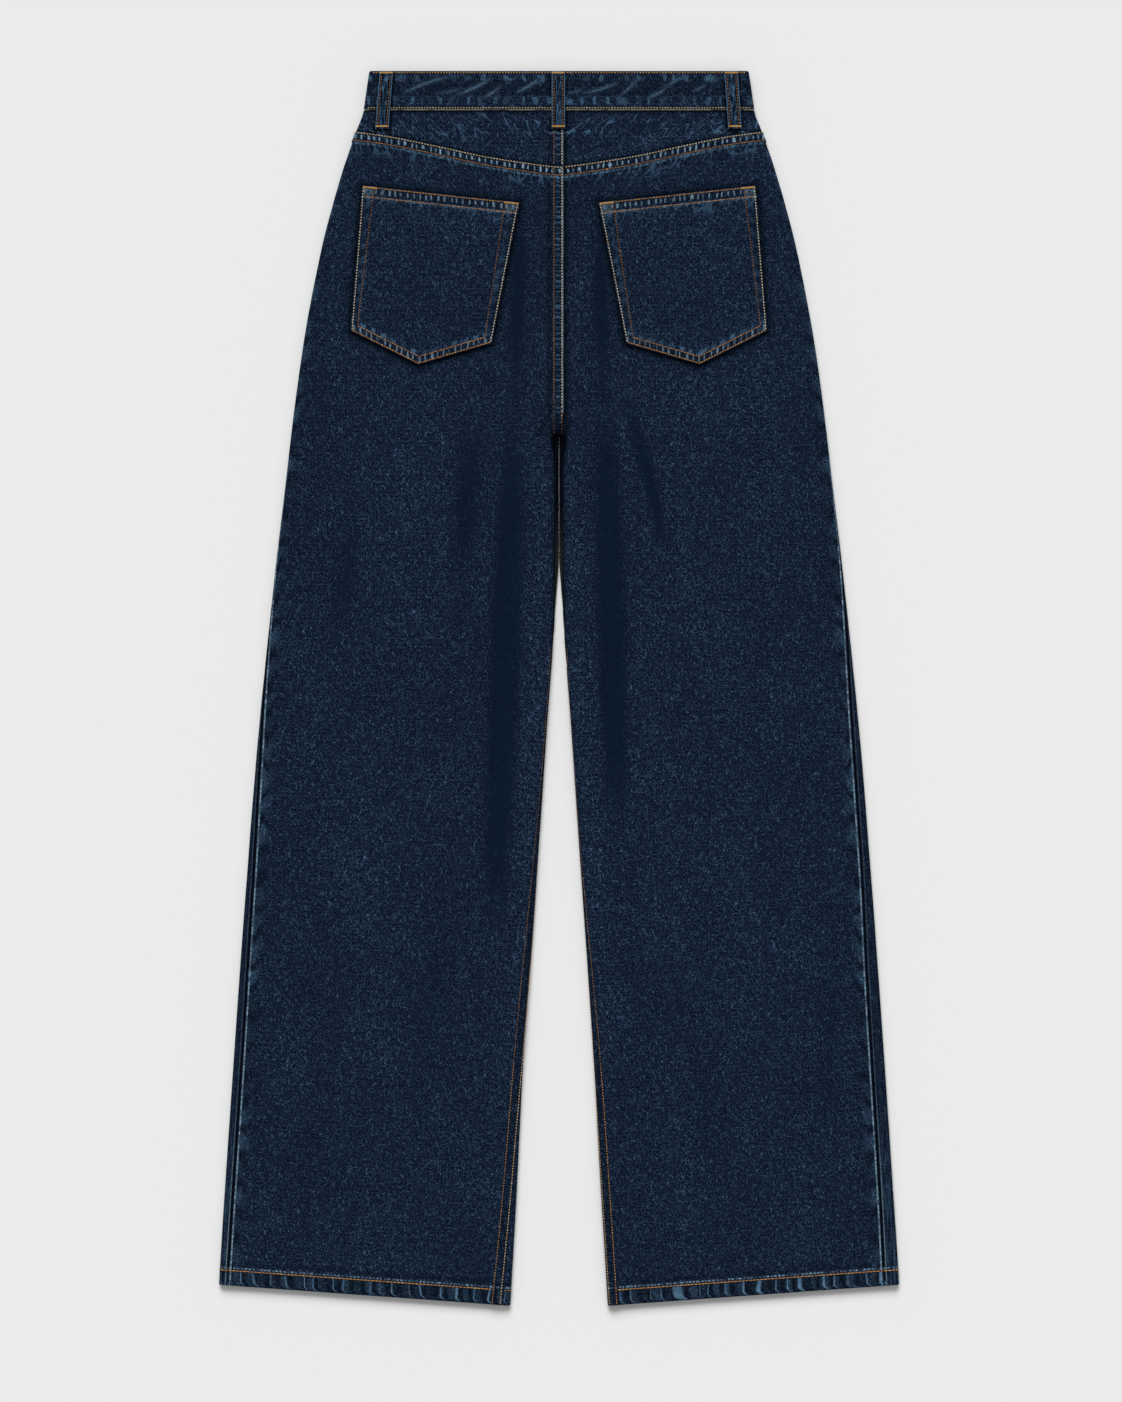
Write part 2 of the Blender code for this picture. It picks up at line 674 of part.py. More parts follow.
def main():
    for thing in list(bpy.data.objects):
        bpy.data.objects.remove(thing)
    for side, word in ((LEFT, "left"), (RIGHT, "right")):
        front_leg(side, f"front_leg_{word}")
        pocket_facing(side, f"front_pocket_facing_{word}")
        back_leg(side, f"back_leg_{word}")
        yoke(side, f"yoke_{word}")
        patch_pocket(side, f"back_pocket_{word}")
    waistband()
    for loop in LOOPS:
        belt_loop(loop)
    waist_button()


main()
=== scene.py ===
# %% [markdown]
# # Wide leg jeans, laid flat
#
# The jeans lie on their front with the back on top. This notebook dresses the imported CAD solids: every denim panel is
# made again as a finer sheet of cloth, then come the stitches, the denim, the thread, the light and the camera.
# Metres, +Z up, +Y towards the waist. The tables are in millimetres, and MM turns them into metres.

# %% Load the frame
import math
from collections import namedtuple
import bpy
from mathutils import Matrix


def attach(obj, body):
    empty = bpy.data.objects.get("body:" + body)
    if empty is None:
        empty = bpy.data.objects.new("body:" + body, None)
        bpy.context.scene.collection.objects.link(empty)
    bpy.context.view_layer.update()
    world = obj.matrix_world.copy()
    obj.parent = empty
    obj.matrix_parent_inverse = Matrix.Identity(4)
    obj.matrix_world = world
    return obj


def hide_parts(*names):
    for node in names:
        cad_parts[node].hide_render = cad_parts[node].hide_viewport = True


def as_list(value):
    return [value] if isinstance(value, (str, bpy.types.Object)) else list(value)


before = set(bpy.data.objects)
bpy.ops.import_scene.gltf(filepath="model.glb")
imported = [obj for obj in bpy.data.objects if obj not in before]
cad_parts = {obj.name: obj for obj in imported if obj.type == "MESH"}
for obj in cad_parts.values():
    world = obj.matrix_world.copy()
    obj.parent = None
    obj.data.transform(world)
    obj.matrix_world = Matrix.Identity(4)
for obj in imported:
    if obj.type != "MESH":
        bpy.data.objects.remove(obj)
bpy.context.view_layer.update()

from types import SimpleNamespace

import bmesh
import bpy
import numpy as np
from mathutils import Matrix, Vector

MM = 0.001
LEFT, RIGHT = -1, 1
WORDS = {LEFT: "left", RIGHT: "right"}
chance = np.random.default_rng(7)

# %% [markdown]
# ## The form of the garment
#
# A pair of jeans on a table is two flattened tubes. Their outline, their edges and their largest folds are a few short
# tables, the same ones that the solids were made from, so the cloth lies exactly where the solids are.

# %% Sizes of cloth and seams
PLY = 1.2
SEAM_GAP = 0.3
FELL, FELL_STEP, FELL_RAISE = 9.0, 1.2, 0.8
CENTRE_LAP = 4.0
WAISTBAND, CROTCH = 34.5, 320.0
HEM_OUTER, HEM_INNER, HEM_FOLD = 1062.9, 1081.3, 13.5
HEM_MID = (HEM_OUTER + HEM_INNER) / 2
LENGTH = HEM_INNER
ROLL_WIDTH, LEAST_TOP = 17.0, 3.4
LEDGE_TOP, LEDGE_SEAM = 3.9, 1.95


def table(fields, *rows):
    """A short table with named columns."""
    row_of = namedtuple("Row", fields)
    return [row_of(*row) for row in rows]


# %% The outline, the form across a leg, and the yoke's seam
SIDES = table(
    "down half_width",
    (0, 166.2), (34.5, 171.2), (51, 177.2), (86, 189.4), (121, 199.5), (156, 208.3), (226, 221.9), (296, 232.0),
    (367, 240.3), (437, 248.6), (577, 263.1), (717, 274.5), (858, 284.6), (998, 294.2), (1063, 298.2),
)  # fmt: skip
GAPS = table(
    "down half_gap half_low",
    (320, 3.9, 0.2), (425, 4.1, 0.2), (441, 4.3, 1.0), (463, 4.7, 2.8), (484, 5.5, 4.4), (507, 6.8, 6.2),
    (542, 9.0, 8.8), (577, 11.4, 11.4), (717, 21.0, 21.0), (858, 30.7, 30.7), (998, 37.9, 37.9), (1082, 42.7, 42.7),
)  # fmt: skip
FORMS = table(
    "down floor crown side_top side_round inner_top inner_round",
    (30, 2.3, 6.4, 6.4, 2.1, 6.6, 5.5),
    (54, 2.3, 6.4, 6.4, 2.1, 6.7, 5.5),
    (84, 0.0, 6.2, 6.2, 3.1, 7.0, 5.5),
    (200, 0.0, 6.0, 6.3, 3.2, 8.0, 6.0),
    (300, 0.0, 6.0, 6.4, 3.2, 9.6, 7.0),
    (340, 0.0, 6.0, 6.4, 3.2, 10.2, 7.0),
    (430, 0.0, 5.6, 6.4, 3.2, 9.2, 6.0),
    (560, 0.0, 5.0, 6.2, 3.1, 7.4, 4.4),
    (750, 0.0, 4.6, 6.0, 3.0, 6.6, 3.6),
    (950, 0.0, 4.6, 5.8, 2.9, 6.4, 3.4),
    (1040, 0.0, 5.4, 6.2, 3.1, 6.4, 3.2),
    (1082, 0.0, 6.2, 6.6, 3.3, 6.8, 3.4),
)
TURNS = table(
    "down side_left side_right inner_left inner_right",
    (60, -5.4, -5.4, 0.0, 0.0), (120, -5.4, -5.2, 0.0, 0.0), (215, -3.6, -3.0, 0.0, 0.0),
    (325, -2.0, -1.2, 0.0, 0.0), (393, -0.8, 0.2, 0.0, 0.0), (425, -0.3, 1.2, -0.3, -0.3),
    (457, 0.2, 2.4, -1.6, -2.0), (505, 1.8, 4.7, -4.2, -4.8), (553, 3.4, 6.9, -5.0, -6.5),
    (610, 5.4, 8.4, -4.5, -6.3), (668, 6.8, 9.2, -3.4, -5.8), (712, 7.6, 9.7, -2.2, -4.8),
    (802, 8.4, 11.9, 0.3, -2.8), (892, 9.0, 12.8, 2.9, -0.6), (990, 9.2, 13.6, 6.3, 1.2), (1082, 9.4, 15.0, 10.2, 2.0),
)  # fmt: skip
YOKES = table(
    "across seam_down", (-6, 83.0), (3, 82.9), (32, 79.1), (69, 73.0), (106, 65.0), (149, 56.3), (190, 51.0)
)

# %% Folds
FOLDS = table(
    "side across_from down_from across_to down_to width height",
    (LEFT, 33, 110, 39, 300, 8, -1.3),
    (LEFT, 38, 270, 58, 780, 13, -2.0),
    (LEFT, 74, 290, 88, 470, 15, -1.1),
    (LEFT, 146, 270, 128, 540, 14, 1.0),
    (LEFT, 182, 350, 188, 520, 13, -0.8),
    (LEFT, 206, 560, 150, 900, 18, 0.7),
    (LEFT, 96, 640, 128, 1000, 20, -0.6),
    (RIGHT, 33, 105, 40, 300, 8, -1.3),
    (RIGHT, 40, 265, 52, 690, 12, -2.0),
    (RIGHT, 58, 275, 100, 440, 8, -1.4),
    (RIGHT, 78, 265, 134, 560, 8, 1.3),
    (RIGHT, 116, 640, 196, 800, 20, 0.9),
    (RIGHT, 232, 700, 240, 1000, 14, -0.6),
    (RIGHT, 118, 820, 142, 1010, 18, -0.6),
)


# %% Curves through the tables
def smooth(value):
    value = np.clip(value, 0.0, 1.0)
    return value * value * (3 - 2 * value)


def quarter_round(value):
    """The height, from 0 to 1, of a quarter circle at this share of its radius."""
    return np.sqrt(1 - (1 - np.clip(value, 0.0, 1.0)) ** 2)


def read(table, field, at):
    """A smooth curve through one column of a table, read at these distances."""
    known = np.array([row[0] for row in table], float)
    values = np.array([getattr(row, field) for row in table], float)
    at = np.clip(np.asarray(at, float), known[0], known[-1])
    k = np.clip(np.searchsorted(known, at, side="right") - 1, 0, len(known) - 2)
    before = np.concatenate(([values[0]], values[:-1]))
    after = np.concatenate((values[1:], [values[-1]]))
    span = np.concatenate((known[1:], [known[-1]])) - np.concatenate(([known[0]], known[:-1]))
    slope = (after - before) / span
    turning = (values - before) * (after - values) <= 0
    turning[[0, -1]] = False
    slope[turning] = 0.0
    step = known[k + 1] - known[k]
    t = (at - known[k]) / step
    start = (2 * t**3 - 3 * t**2 + 1) * values[k] + (t**3 - 2 * t**2 + t) * step * slope[k]
    return start + (3 * t**2 - 2 * t**3) * values[k + 1] + (t**3 - t**2) * step * slope[k + 1]


def lean(down):
    """How much a cut across the leg tilts, from level at the crotch to the hem's own slope."""
    width = read(SIDES, "half_width", HEM_OUTER) - read(GAPS, "half_gap", HEM_INNER)
    return (HEM_INNER - HEM_OUTER) / width * smooth((down - CROTCH) / (HEM_MID - CROTCH))


def gap(kind, down):
    """One column of GAPS, read on the sloping cut whose middle lies this far down."""
    half = (read(SIDES, "half_width", down) - read(GAPS, "half_gap", down)) / 2
    return read(GAPS, kind, down + lean(down) * half)


def edges(down):
    """How far across the inner and the outer edge of a cut lie."""
    half = (read(SIDES, "half_width", down) - read(GAPS, "half_gap", down)) / 2
    outer = read(SIDES, "half_width", down - lean(down) * half)
    return np.where(down > CROTCH, gap("half_low", down), 0.0), outer


def ledge(down):
    """1 where the legs touch below the crotch, and the low edge sticks out under the rounded one, down to 0."""
    return smooth((gap("half_gap", down) - gap("half_low", down)) / 3)


def fold_height(side, across, down):
    """The height of all the folds of one side, in millimetres: ridges stand up and troughs go down."""
    total = 0.0
    for fold in (fold for fold in FOLDS if fold.side == side):
        share = (down - fold.down_from) / (fold.down_to - fold.down_from)
        middle = fold.across_from + (fold.across_to - fold.across_from) * share
        fade = np.sin(math.pi * np.clip(share, 0, 1)) ** 0.8
        total = total + fold.height * fade * np.exp(-(((across - middle) / fold.width) ** 2))
    return total


def top_height(side, across, down):
    """The height of the back's face, before it turns down at an edge."""
    outer = edges(down)[1]
    inner = read(GAPS, "half_gap", down) * smooth((down - CROTCH + 60) / 90)
    crown = read(FORMS, "crown", down)
    at_side = np.exp(-(((outer - across) / ROLL_WIDTH) ** 2))
    at_inner = np.exp(-(((np.abs(across) - inner) / ROLL_WIDTH) ** 2))
    height = crown + (read(FORMS, "side_top", down) - crown) * at_side
    height = height + (read(FORMS, "inner_top", down) - crown) * at_inner
    return np.maximum(height + fold_height(side, across, down) * (1 - at_side), LEAST_TOP)


def seam_height(down, side_of_seam):
    """The height of the inner edge's middle: 1 reads it above the seam there, and -1 below it."""
    plain = 0.45 * read(FORMS, "inner_top", down)
    return plain + (LEDGE_SEAM - plain) * ledge(down) + 1.6 * (1 - smooth((down - CROTCH) / 12)) * side_of_seam


def back_height(side, across, down):
    """The height of the back's face, turned down towards the gap between the legs."""
    seam = seam_height(down, 1)
    low = seam + (LEDGE_TOP - seam) * ledge(down)
    lip = gap("half_gap", down)
    rolled = (np.hypot(across, np.maximum(CROTCH + lip - down, 0.0)) - lip) / read(FORMS, "inner_round", down)
    above = low + (top_height(side, np.abs(across), down) - low) * quarter_round(rolled)
    below = seam + (low - seam) * quarter_round((across - edges(down)[0]) / 1.6)
    return np.where(rolled > 0, above, below)


def front_height(across, down):
    """The height of the front's face, which lies on the floor and turns up at the inner edge."""
    floor = read(FORMS, "floor", down)
    if down <= CROTCH:
        return floor + 0 * across
    radius = 0.8 * read(FORMS, "inner_round", down)
    radius = radius + (1.8 - radius) * ledge(down)
    roll = quarter_round((across - edges(down)[0]) / radius)
    return floor + (seam_height(down, -1) - floor) * (1 - roll)


print("crotch to hem:", round(LENGTH - CROTCH, 1), "mm, hem half width", float(read(SIDES, "half_width", 1063)), "mm")

# %% [markdown]
# ## Cuts across the legs
#
# A cut across the garment at one distance down is a closed line: over the back, round the side edge, back along the
# floor and round the inner edge. Each cut is sampled at even lengths once, and every panel is a stretch of those lines.
# That keeps one smooth form under all the pieces, with no gaps where two of them meet.

# %% Where the cuts lie
UPPER_ROWS = np.arange(110, 313.2, 2.42)
CROTCH_ROWS = np.concatenate((
    CROTCH - 7 * (1 - np.cos(np.radians([70, 45, 22, 0]))),
    CROTCH + 3.9 * (1 - np.cos(np.radians([40, 65, 89]))),
))  # fmt: skip
LOWER_ROWS = np.linspace(326, HEM_MID - HEM_FOLD - 1.0, 300)
HEM_ROWS = HEM_MID - np.array([HEM_FOLD, 11.4, 9.0, 6.6, 4.2, 2.0, 0.8, 0.0])
LEG_ROWS = np.concatenate((UPPER_ROWS, CROTCH_ROWS, LOWER_ROWS, HEM_ROWS))
CUTS = np.concatenate((np.arange(30, 110, 2.0), LEG_ROWS))
SAMPLE_STEP = 0.5
SAMPLES = np.arange(-24, 620, SAMPLE_STEP)


def cut_across(side, down):
    """One cut: points (across, height), their lengths along it, and the length at the side edge."""
    inner, outer = (float(v) for v in edges(down))
    side_round, inner_round = read(FORMS, "side_round", down), read(FORMS, "inner_round", down)
    floor = read(FORMS, "floor", down)
    turns = 1 - np.cos(np.radians(np.arange(0, 91, 9)))
    if down > CROTCH:
        lip = gap("half_gap", down)
        step = inner + 1.6 * turns
        near = np.concatenate((step[step < lip - 0.05], lip + inner_round * turns))
        under = inner + inner_round * turns
    else:
        near = np.arange(-3 * CENTRE_LAP, 13, 1.0)
        under = np.arange(0, 19, 1.0)
    last = outer - side_round
    over = np.concatenate((near, np.linspace(near[-1], last, 140)[1:-1]))
    half = (back_height(side, last, down) - floor) / 2
    angles = np.radians(np.arange(90, -91, -10))
    beneath = np.concatenate((np.linspace(last, under[-1], 60)[1:-1], under[::-1]))
    across = np.concatenate((over, last + side_round * np.cos(angles), beneath))
    height = np.concatenate(
        (back_height(side, over, down), floor + half + half * np.sin(angles), front_height(beneath, down))
    )
    lengths = np.concatenate(([0.0], np.cumsum(np.hypot(np.diff(across), np.diff(height)))))
    offset = 0.0 if down > CROTCH else lengths[3 * int(CENTRE_LAP)]
    return across, height, lengths - offset, lengths[len(over) + 9] - offset


def sample_cuts(side):
    """Every cut of one side at even lengths: a table of (across, height) and of the outward direction."""
    places, outwards, edge, whole = [], [], [], []
    for down in CUTS:
        across, height, lengths, edge_at = cut_across(side, down)
        at = SAMPLES % lengths[-1] if down > CROTCH else SAMPLES
        place = np.stack((np.interp(at, lengths, across), np.interp(at, lengths, height)), axis=1)
        if down <= CROTCH:
            place[:, 0] -= np.maximum(SAMPLES - lengths[-1], 0)
        along = np.gradient(place, axis=0)
        along /= np.maximum(np.hypot(along[:, :1], along[:, 1:]), 1e-9)
        places.append(place)
        outwards.append(np.stack((-along[:, 1], along[:, 0]), axis=1))
        edge.append(edge_at)
        whole.append(lengths[-1])
    return np.array(places), np.array(outwards), np.array(edge), np.array(whole)


TUBES = {side: sample_cuts(side) for side in (LEFT, RIGHT)}


def on_tube(side, down, length, lift=0.0):
    """Points this far down and this far along the cut, lifted off the face: metres, in the last axis."""
    places, outwards = TUBES[side][:2]
    down, length = np.broadcast_arrays(np.asarray(down, float), np.asarray(length, float))
    k = np.clip(np.searchsorted(CUTS, down, side="right") - 1, 0, len(CUTS) - 2)
    row = np.clip((down - CUTS[k]) / (CUTS[k + 1] - CUTS[k]), 0, 1)[..., None]
    spot = np.clip((length - SAMPLES[0]) / SAMPLE_STEP, 0, len(SAMPLES) - 1.001)
    n = spot.astype(int)
    col = (spot - n)[..., None]

    def mixed(table):
        upper = table[k, n] * (1 - col) + table[k, n + 1] * col
        lower = table[k + 1, n] * (1 - col) + table[k + 1, n + 1] * col
        return upper * (1 - row) + lower * row

    place, outward = mixed(places), mixed(outwards)
    across = place[..., 0] + outward[..., 0] * lift
    height = np.maximum(place[..., 1] + outward[..., 1] * lift, 0.0)
    inner, outer = edges(down)
    at = down + lean(down) * ((inner + outer) / 2 - across)
    return np.stack((side * across, LENGTH / 2 - at, height), axis=-1) * MM


def at_side_edge(side, down):
    """The length along a cut at which it turns over the side edge."""
    return np.interp(down, CUTS, TUBES[side][2])


def whole_way(side, down):
    """The length of the whole cut. It jumps a little at the crotch, so it is read from the nearest cut above."""
    k = np.clip(np.searchsorted(CUTS, np.asarray(down) + 1e-6, side="right") - 1, 0, len(CUTS) - 1)
    return TUBES[side][3][k]


def turned(kind, side, down):
    """How far the seam at the side or at the inner edge has turned onto the back, along the cut."""
    return read(TURNS, f"{kind}_{WORDS[side]}", down)


print("cuts:", len(CUTS), "sampled at", len(SAMPLES), "lengths")

# %% [markdown]
# ## Cloth from a grid
#
# A panel starts as a plain grid. Its points are moved onto the form, and its faces are extruded inwards by the
# thickness of the denim, so each panel is a closed sheet with real edges. Three attributes tell the material where a
# point is: `cloth` is the distance across and down the cloth, `seams` the distance from the seams at the top, the inner
# edge and the side, and `wear` how deep in a fold it is, for painted shade, how far it stands out or
# is rubbed, for painted highlight and wear, and how deep it lies in the painted shade beside edges and between the
# legs.

# %% One sheet of cloth
FAR = 500.0  # the distance from a seam that a piece does not have
APART = 700.0  # between the cloth of two pieces, so that no two share their flecks


def sheet_of_cloth(name, points, ply, outward_up, cloth, seams=(), trough=0.0, rub_and_highlight=0.0, shade=0.0, hem=FAR):
    """A closed sheet from points on its outer face, one row of points after the other."""
    depth, count = points.shape[:2]
    maker = bmesh.new()
    bmesh.ops.create_grid(maker, x_segments=count - 1, y_segments=depth - 1, size=0.5)
    order = maker.verts.layers.int.new("order")
    flat = points.reshape(-1, 3).tolist()
    for vert in maker.verts:
        i = round((vert.co.x + 0.5) * (count - 1))
        j = round((vert.co.y + 0.5) * (depth - 1))
        vert[order] = j * count + i
        vert.co = flat[j * count + i]
    if not outward_up:
        bmesh.ops.reverse_faces(maker, faces=maker.faces)
    maker.normal_update()
    plies = np.broadcast_to(ply, (depth, count)).reshape(-1).tolist()
    inwards = {vert[order]: -vert.normal * plies[vert[order]] * MM for vert in maker.verts}
    made = bmesh.ops.extrude_face_region(maker, geom=maker.faces[:], use_keep_orig=True)
    for vert in made["geom"]:
        if isinstance(vert, bmesh.types.BMVert):
            vert.co += inwards[vert[order]]
    bmesh.ops.recalc_face_normals(maker, faces=maker.faces)
    mesh = bpy.data.meshes.new(name)
    maker.to_mesh(mesh)
    maker.free()
    places = np.empty(len(mesh.vertices), dtype=np.int32)
    mesh.attributes["order"].data.foreach_get("value", places)
    mesh.attributes.remove(mesh.attributes["order"])

    def keep(word, *parts):
        stacked = np.stack([np.broadcast_to(part, (depth, count)).reshape(-1)[places] for part in parts], axis=1)
        layer = mesh.attributes.new(word, "FLOAT_VECTOR", "POINT")
        layer.data.foreach_set("vector", stacked.astype(np.float32).ravel())

    keep("cloth", cloth[0], cloth[1], hem)
    keep("seams", *(list(seams) + [FAR] * (3 - len(seams))))
    # painted shade in the fold troughs, painted highlight and wear on ridges, and painted shade beside edges
    keep("wear", trough, rub_and_highlight, shade)
    mesh.shade_smooth()
    mesh.set_sharp_from_angle(angle=math.radians(50))
    piece = bpy.data.objects.new(name, mesh)
    bpy.context.scene.collection.objects.link(piece)
    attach(piece, "root")
    print(name, "triangles:", sum(len(face.vertices) - 2 for face in mesh.polygons))
    return piece


# %% Small unevenness that pressed denim keeps
WAVES = [
    (math.tau / chance.uniform(26, 70), chance.uniform(0, math.pi), chance.uniform(0, math.tau)) for _ in range(14)
]
RIPPLES = [
    (math.tau / chance.uniform(9, 17), chance.uniform(0, math.pi), chance.uniform(0, math.tau)) for _ in range(14)
]


def uneven(table, across, down, stretch=1.0):
    """A smooth random height between about -1 and 1. A stretch above 1 makes it longer down the leg."""
    total = 0.0
    for turns, angle, start in table:
        total = total + np.sin(turns * (math.cos(angle) * across + math.sin(angle) * down / stretch) + start)
    return total / math.sqrt(len(table) / 2) * 0.6


def relief(side, across, down):
    """Small waves of the back's face, in millimetres."""
    return 0.28 * uneven(WAVES, side * across, down, 2.0) + 0.10 * uneven(RIPPLES, side * across, down, 1.6)


print("waves:", len(WAVES), "ripples:", len(RIPPLES))

# %% [markdown]
# ## The back legs
#
# Each back leg is one panel. Its top edge is folded over the yoke and stitched twice, which makes a felled seam: a
# raised band 9 mm wide. The left back carries the same kind of band along the seat seam, and both have one along the
# inseam. The bands are steps in the height of the grid, so its columns stand closer there.


# %% Where the pockets lie
POCKET_TOP_INNER, POCKET_TOP_OUTER = np.array((34.5, 115.1)), np.array((172.3, 100.2))
POCKET_LOW_INNER, POCKET_LOW_OUTER = np.array((58.7, 238.7)), np.array((182.5, 227.8))
POCKET_TIP = np.array((123.2, 257.5))
POCKET_WIDTH, POCKET_SIDE = 139.0, 142.0
POCKET_HEM, POCKET_RIM, POCKET_RAISE = 10.0, 8.0, 0.7
POCKET_LIFT = SEAM_GAP + 0.15 + PLY  # the pocket's face above the leg's


def from_line(spot, a, b):
    """The distance of spots from the line through a and b, positive on its right when looking from a to b."""
    way = (b - a) / np.hypot(*(b - a))
    return (spot[..., 0] - a[0]) * way[1] - (spot[..., 1] - a[1]) * way[0]


def on_back(side, across, down, lift):
    """Points above the back's face, by their place across and down, above the crotch."""
    return np.stack((side * across, LENGTH / 2 - down, back_height(side, across, down) + lift), axis=-1) * MM


def pocket_offs(spot):
    """Distances from the pocket's mouth, inner side, outer side, and two lower edges."""
    return (
        -from_line(spot, POCKET_TOP_INNER, POCKET_TOP_OUTER),
        from_line(spot, POCKET_TOP_INNER, POCKET_LOW_INNER),
        -from_line(spot, POCKET_TOP_OUTER, POCKET_LOW_OUTER),
        from_line(spot, POCKET_LOW_INNER, POCKET_TIP),
        from_line(spot, POCKET_TIP, POCKET_LOW_OUTER),
    )


def near_pocket(across, down):
    """How deep in the shadow of a pocket's edge a point of the leg lies, from 0 to 1."""
    offs = pocket_offs(np.stack((across, down), axis=-1))
    outside = -np.min(np.stack(offs), axis=0)
    return np.where(outside > -1.5, np.exp(-((np.maximum(outside, 0) / 3.6) ** 1.5)), 0.0)


# %% Columns and rows of a back panel
def felled(off):
    """The height of a felled band, from 0 to 1, at this distance from its folded edge."""
    return quarter_round(off / 0.9 + 0.15) * (1 - smooth((off - FELL) / FELL_STEP))


def at_inner_seam(side, down):
    """The length along a cut where a back panel starts: at the seat seam, or at the inseam below the crotch."""
    lap = CENTRE_LAP * side * (1 - smooth((down - CROTCH + 24) / 24))
    return np.where(down > CROTCH, turned("inner", side, down), lap) + SEAM_GAP / 2


def at_side_seam(side, down):
    return at_side_edge(side, down) - turned("side", side, down) - SEAM_GAP / 2


def column_stretch(down):
    """How much the columns at the inner edge spread where the legs touch."""
    return 1 + 0.6 * smooth((down - 296) / 30) * (1 - smooth((down - 425) / 70))


def back_columns(side, down):
    """Lengths along the cut from the centre or inner seam to the side seam: one row for each distance down."""
    down = np.asarray(down, float)
    start, end = at_inner_seam(side, down), at_side_seam(side, down)
    offs = np.array([0.0, 0.5, 1.2, 2.5, 4.0, 5.6, 7.2, 8.5, FELL, 9.6, FELL + FELL_STEP])
    near = start[..., None] + offs * column_stretch(down)[..., None]
    far = end[..., None] - np.array([11.0, 9.4, 7.8, 6.2, 4.8, 3.4, 2.2, 1.0, 0.4, 0.0])
    middle = near[..., -1:] + (far[..., :1] - near[..., -1:]) * np.linspace(0, 1, 80)[1:-1]
    return np.concatenate((near, middle, far), axis=-1), start, end


def settled_row(side, first_guess, down_at):
    """One row of points whose distance down depends on their lengths along the cut, settled in three rounds."""
    length = back_columns(side, np.array(first_guess))[0]
    for _ in range(3):
        down = down_at(length)
        length = np.diagonal(back_columns(side, down)[0])
    return down, length


def yoke_seam(side, length, offset):
    """How far down the yoke seam lies at these lengths from the centre, moved down by offset."""
    down = np.full_like(length, 70.0)
    for _ in range(4):
        across = np.abs(on_tube(side, down, length)[..., 0]) / MM
        down = read(YOKES, "seam_down", across) + offset
    return down


def inner_fell(side, down, off):
    """The height of the felled band at the inner edge. Above the crotch only the left back has it."""
    above = FELL_RAISE * smooth((CROTCH - down) / 20) * (side == LEFT)
    below = FELL_RAISE * smooth((down - 450) / 60)
    return felled(off) * np.where(down < CROTCH, above, below)


def in_slot(across, down):
    """How deep in the painted shade between the legs a point lies: from 0 to 1 it is painted black, and up to 2 it is
    painted grey where some light comes in again.
    """
    half = read(GAPS, "half_gap", down) + 6.0 * (1 - smooth((down - 302) / 48))
    flank = smooth((np.abs(across) - 5) / 3)
    begins, ends = smooth((down - 300 + 6 * flank) / 22), 1 - smooth((down - 515) / 30)
    lit = smooth((down - 360) / 100) * (np.abs(across) < read(GAPS, "half_gap", down) - 0.3)
    return smooth((half - np.abs(across)) / 2.0 + 0.5) * begins * ends * (1 + lit)


def fold_shade_and_highlight(side, across, down):
    """How deep in a fold a point lies, and how far it stands out, each from 0 to 1: the denim paints shade in the
    troughs and highlight on the ridges and beside the inner edge.
    """
    height = fold_height(side, across, down)
    lip = read(GAPS, "half_gap", down)
    ridge = np.exp(-(((across - lip - 11) / 9) ** 2)) * smooth((down - 335) / 60) * (1 - smooth((down - 820) / 200))
    return smooth((-height - 0.2) / 1.15), np.clip(height / 1.6, 0, 1) * 0.7 + 0.55 * ridge


def panel_edges(side, down, length):
    """The distances of a point of a back panel or yoke from its inner seam and from its side seam."""
    return length - at_inner_seam(side, down), at_side_seam(side, down) - length


def beside_seat(side, off):
    """The shadow along the seat seam: on the right panel beside the left one's band, on the left one past the band."""
    return 0.9 * np.exp(-((off / 4.0) ** 2)) if side == RIGHT else 0.7 * np.exp(-(((off - 12) / 2.0) ** 2))


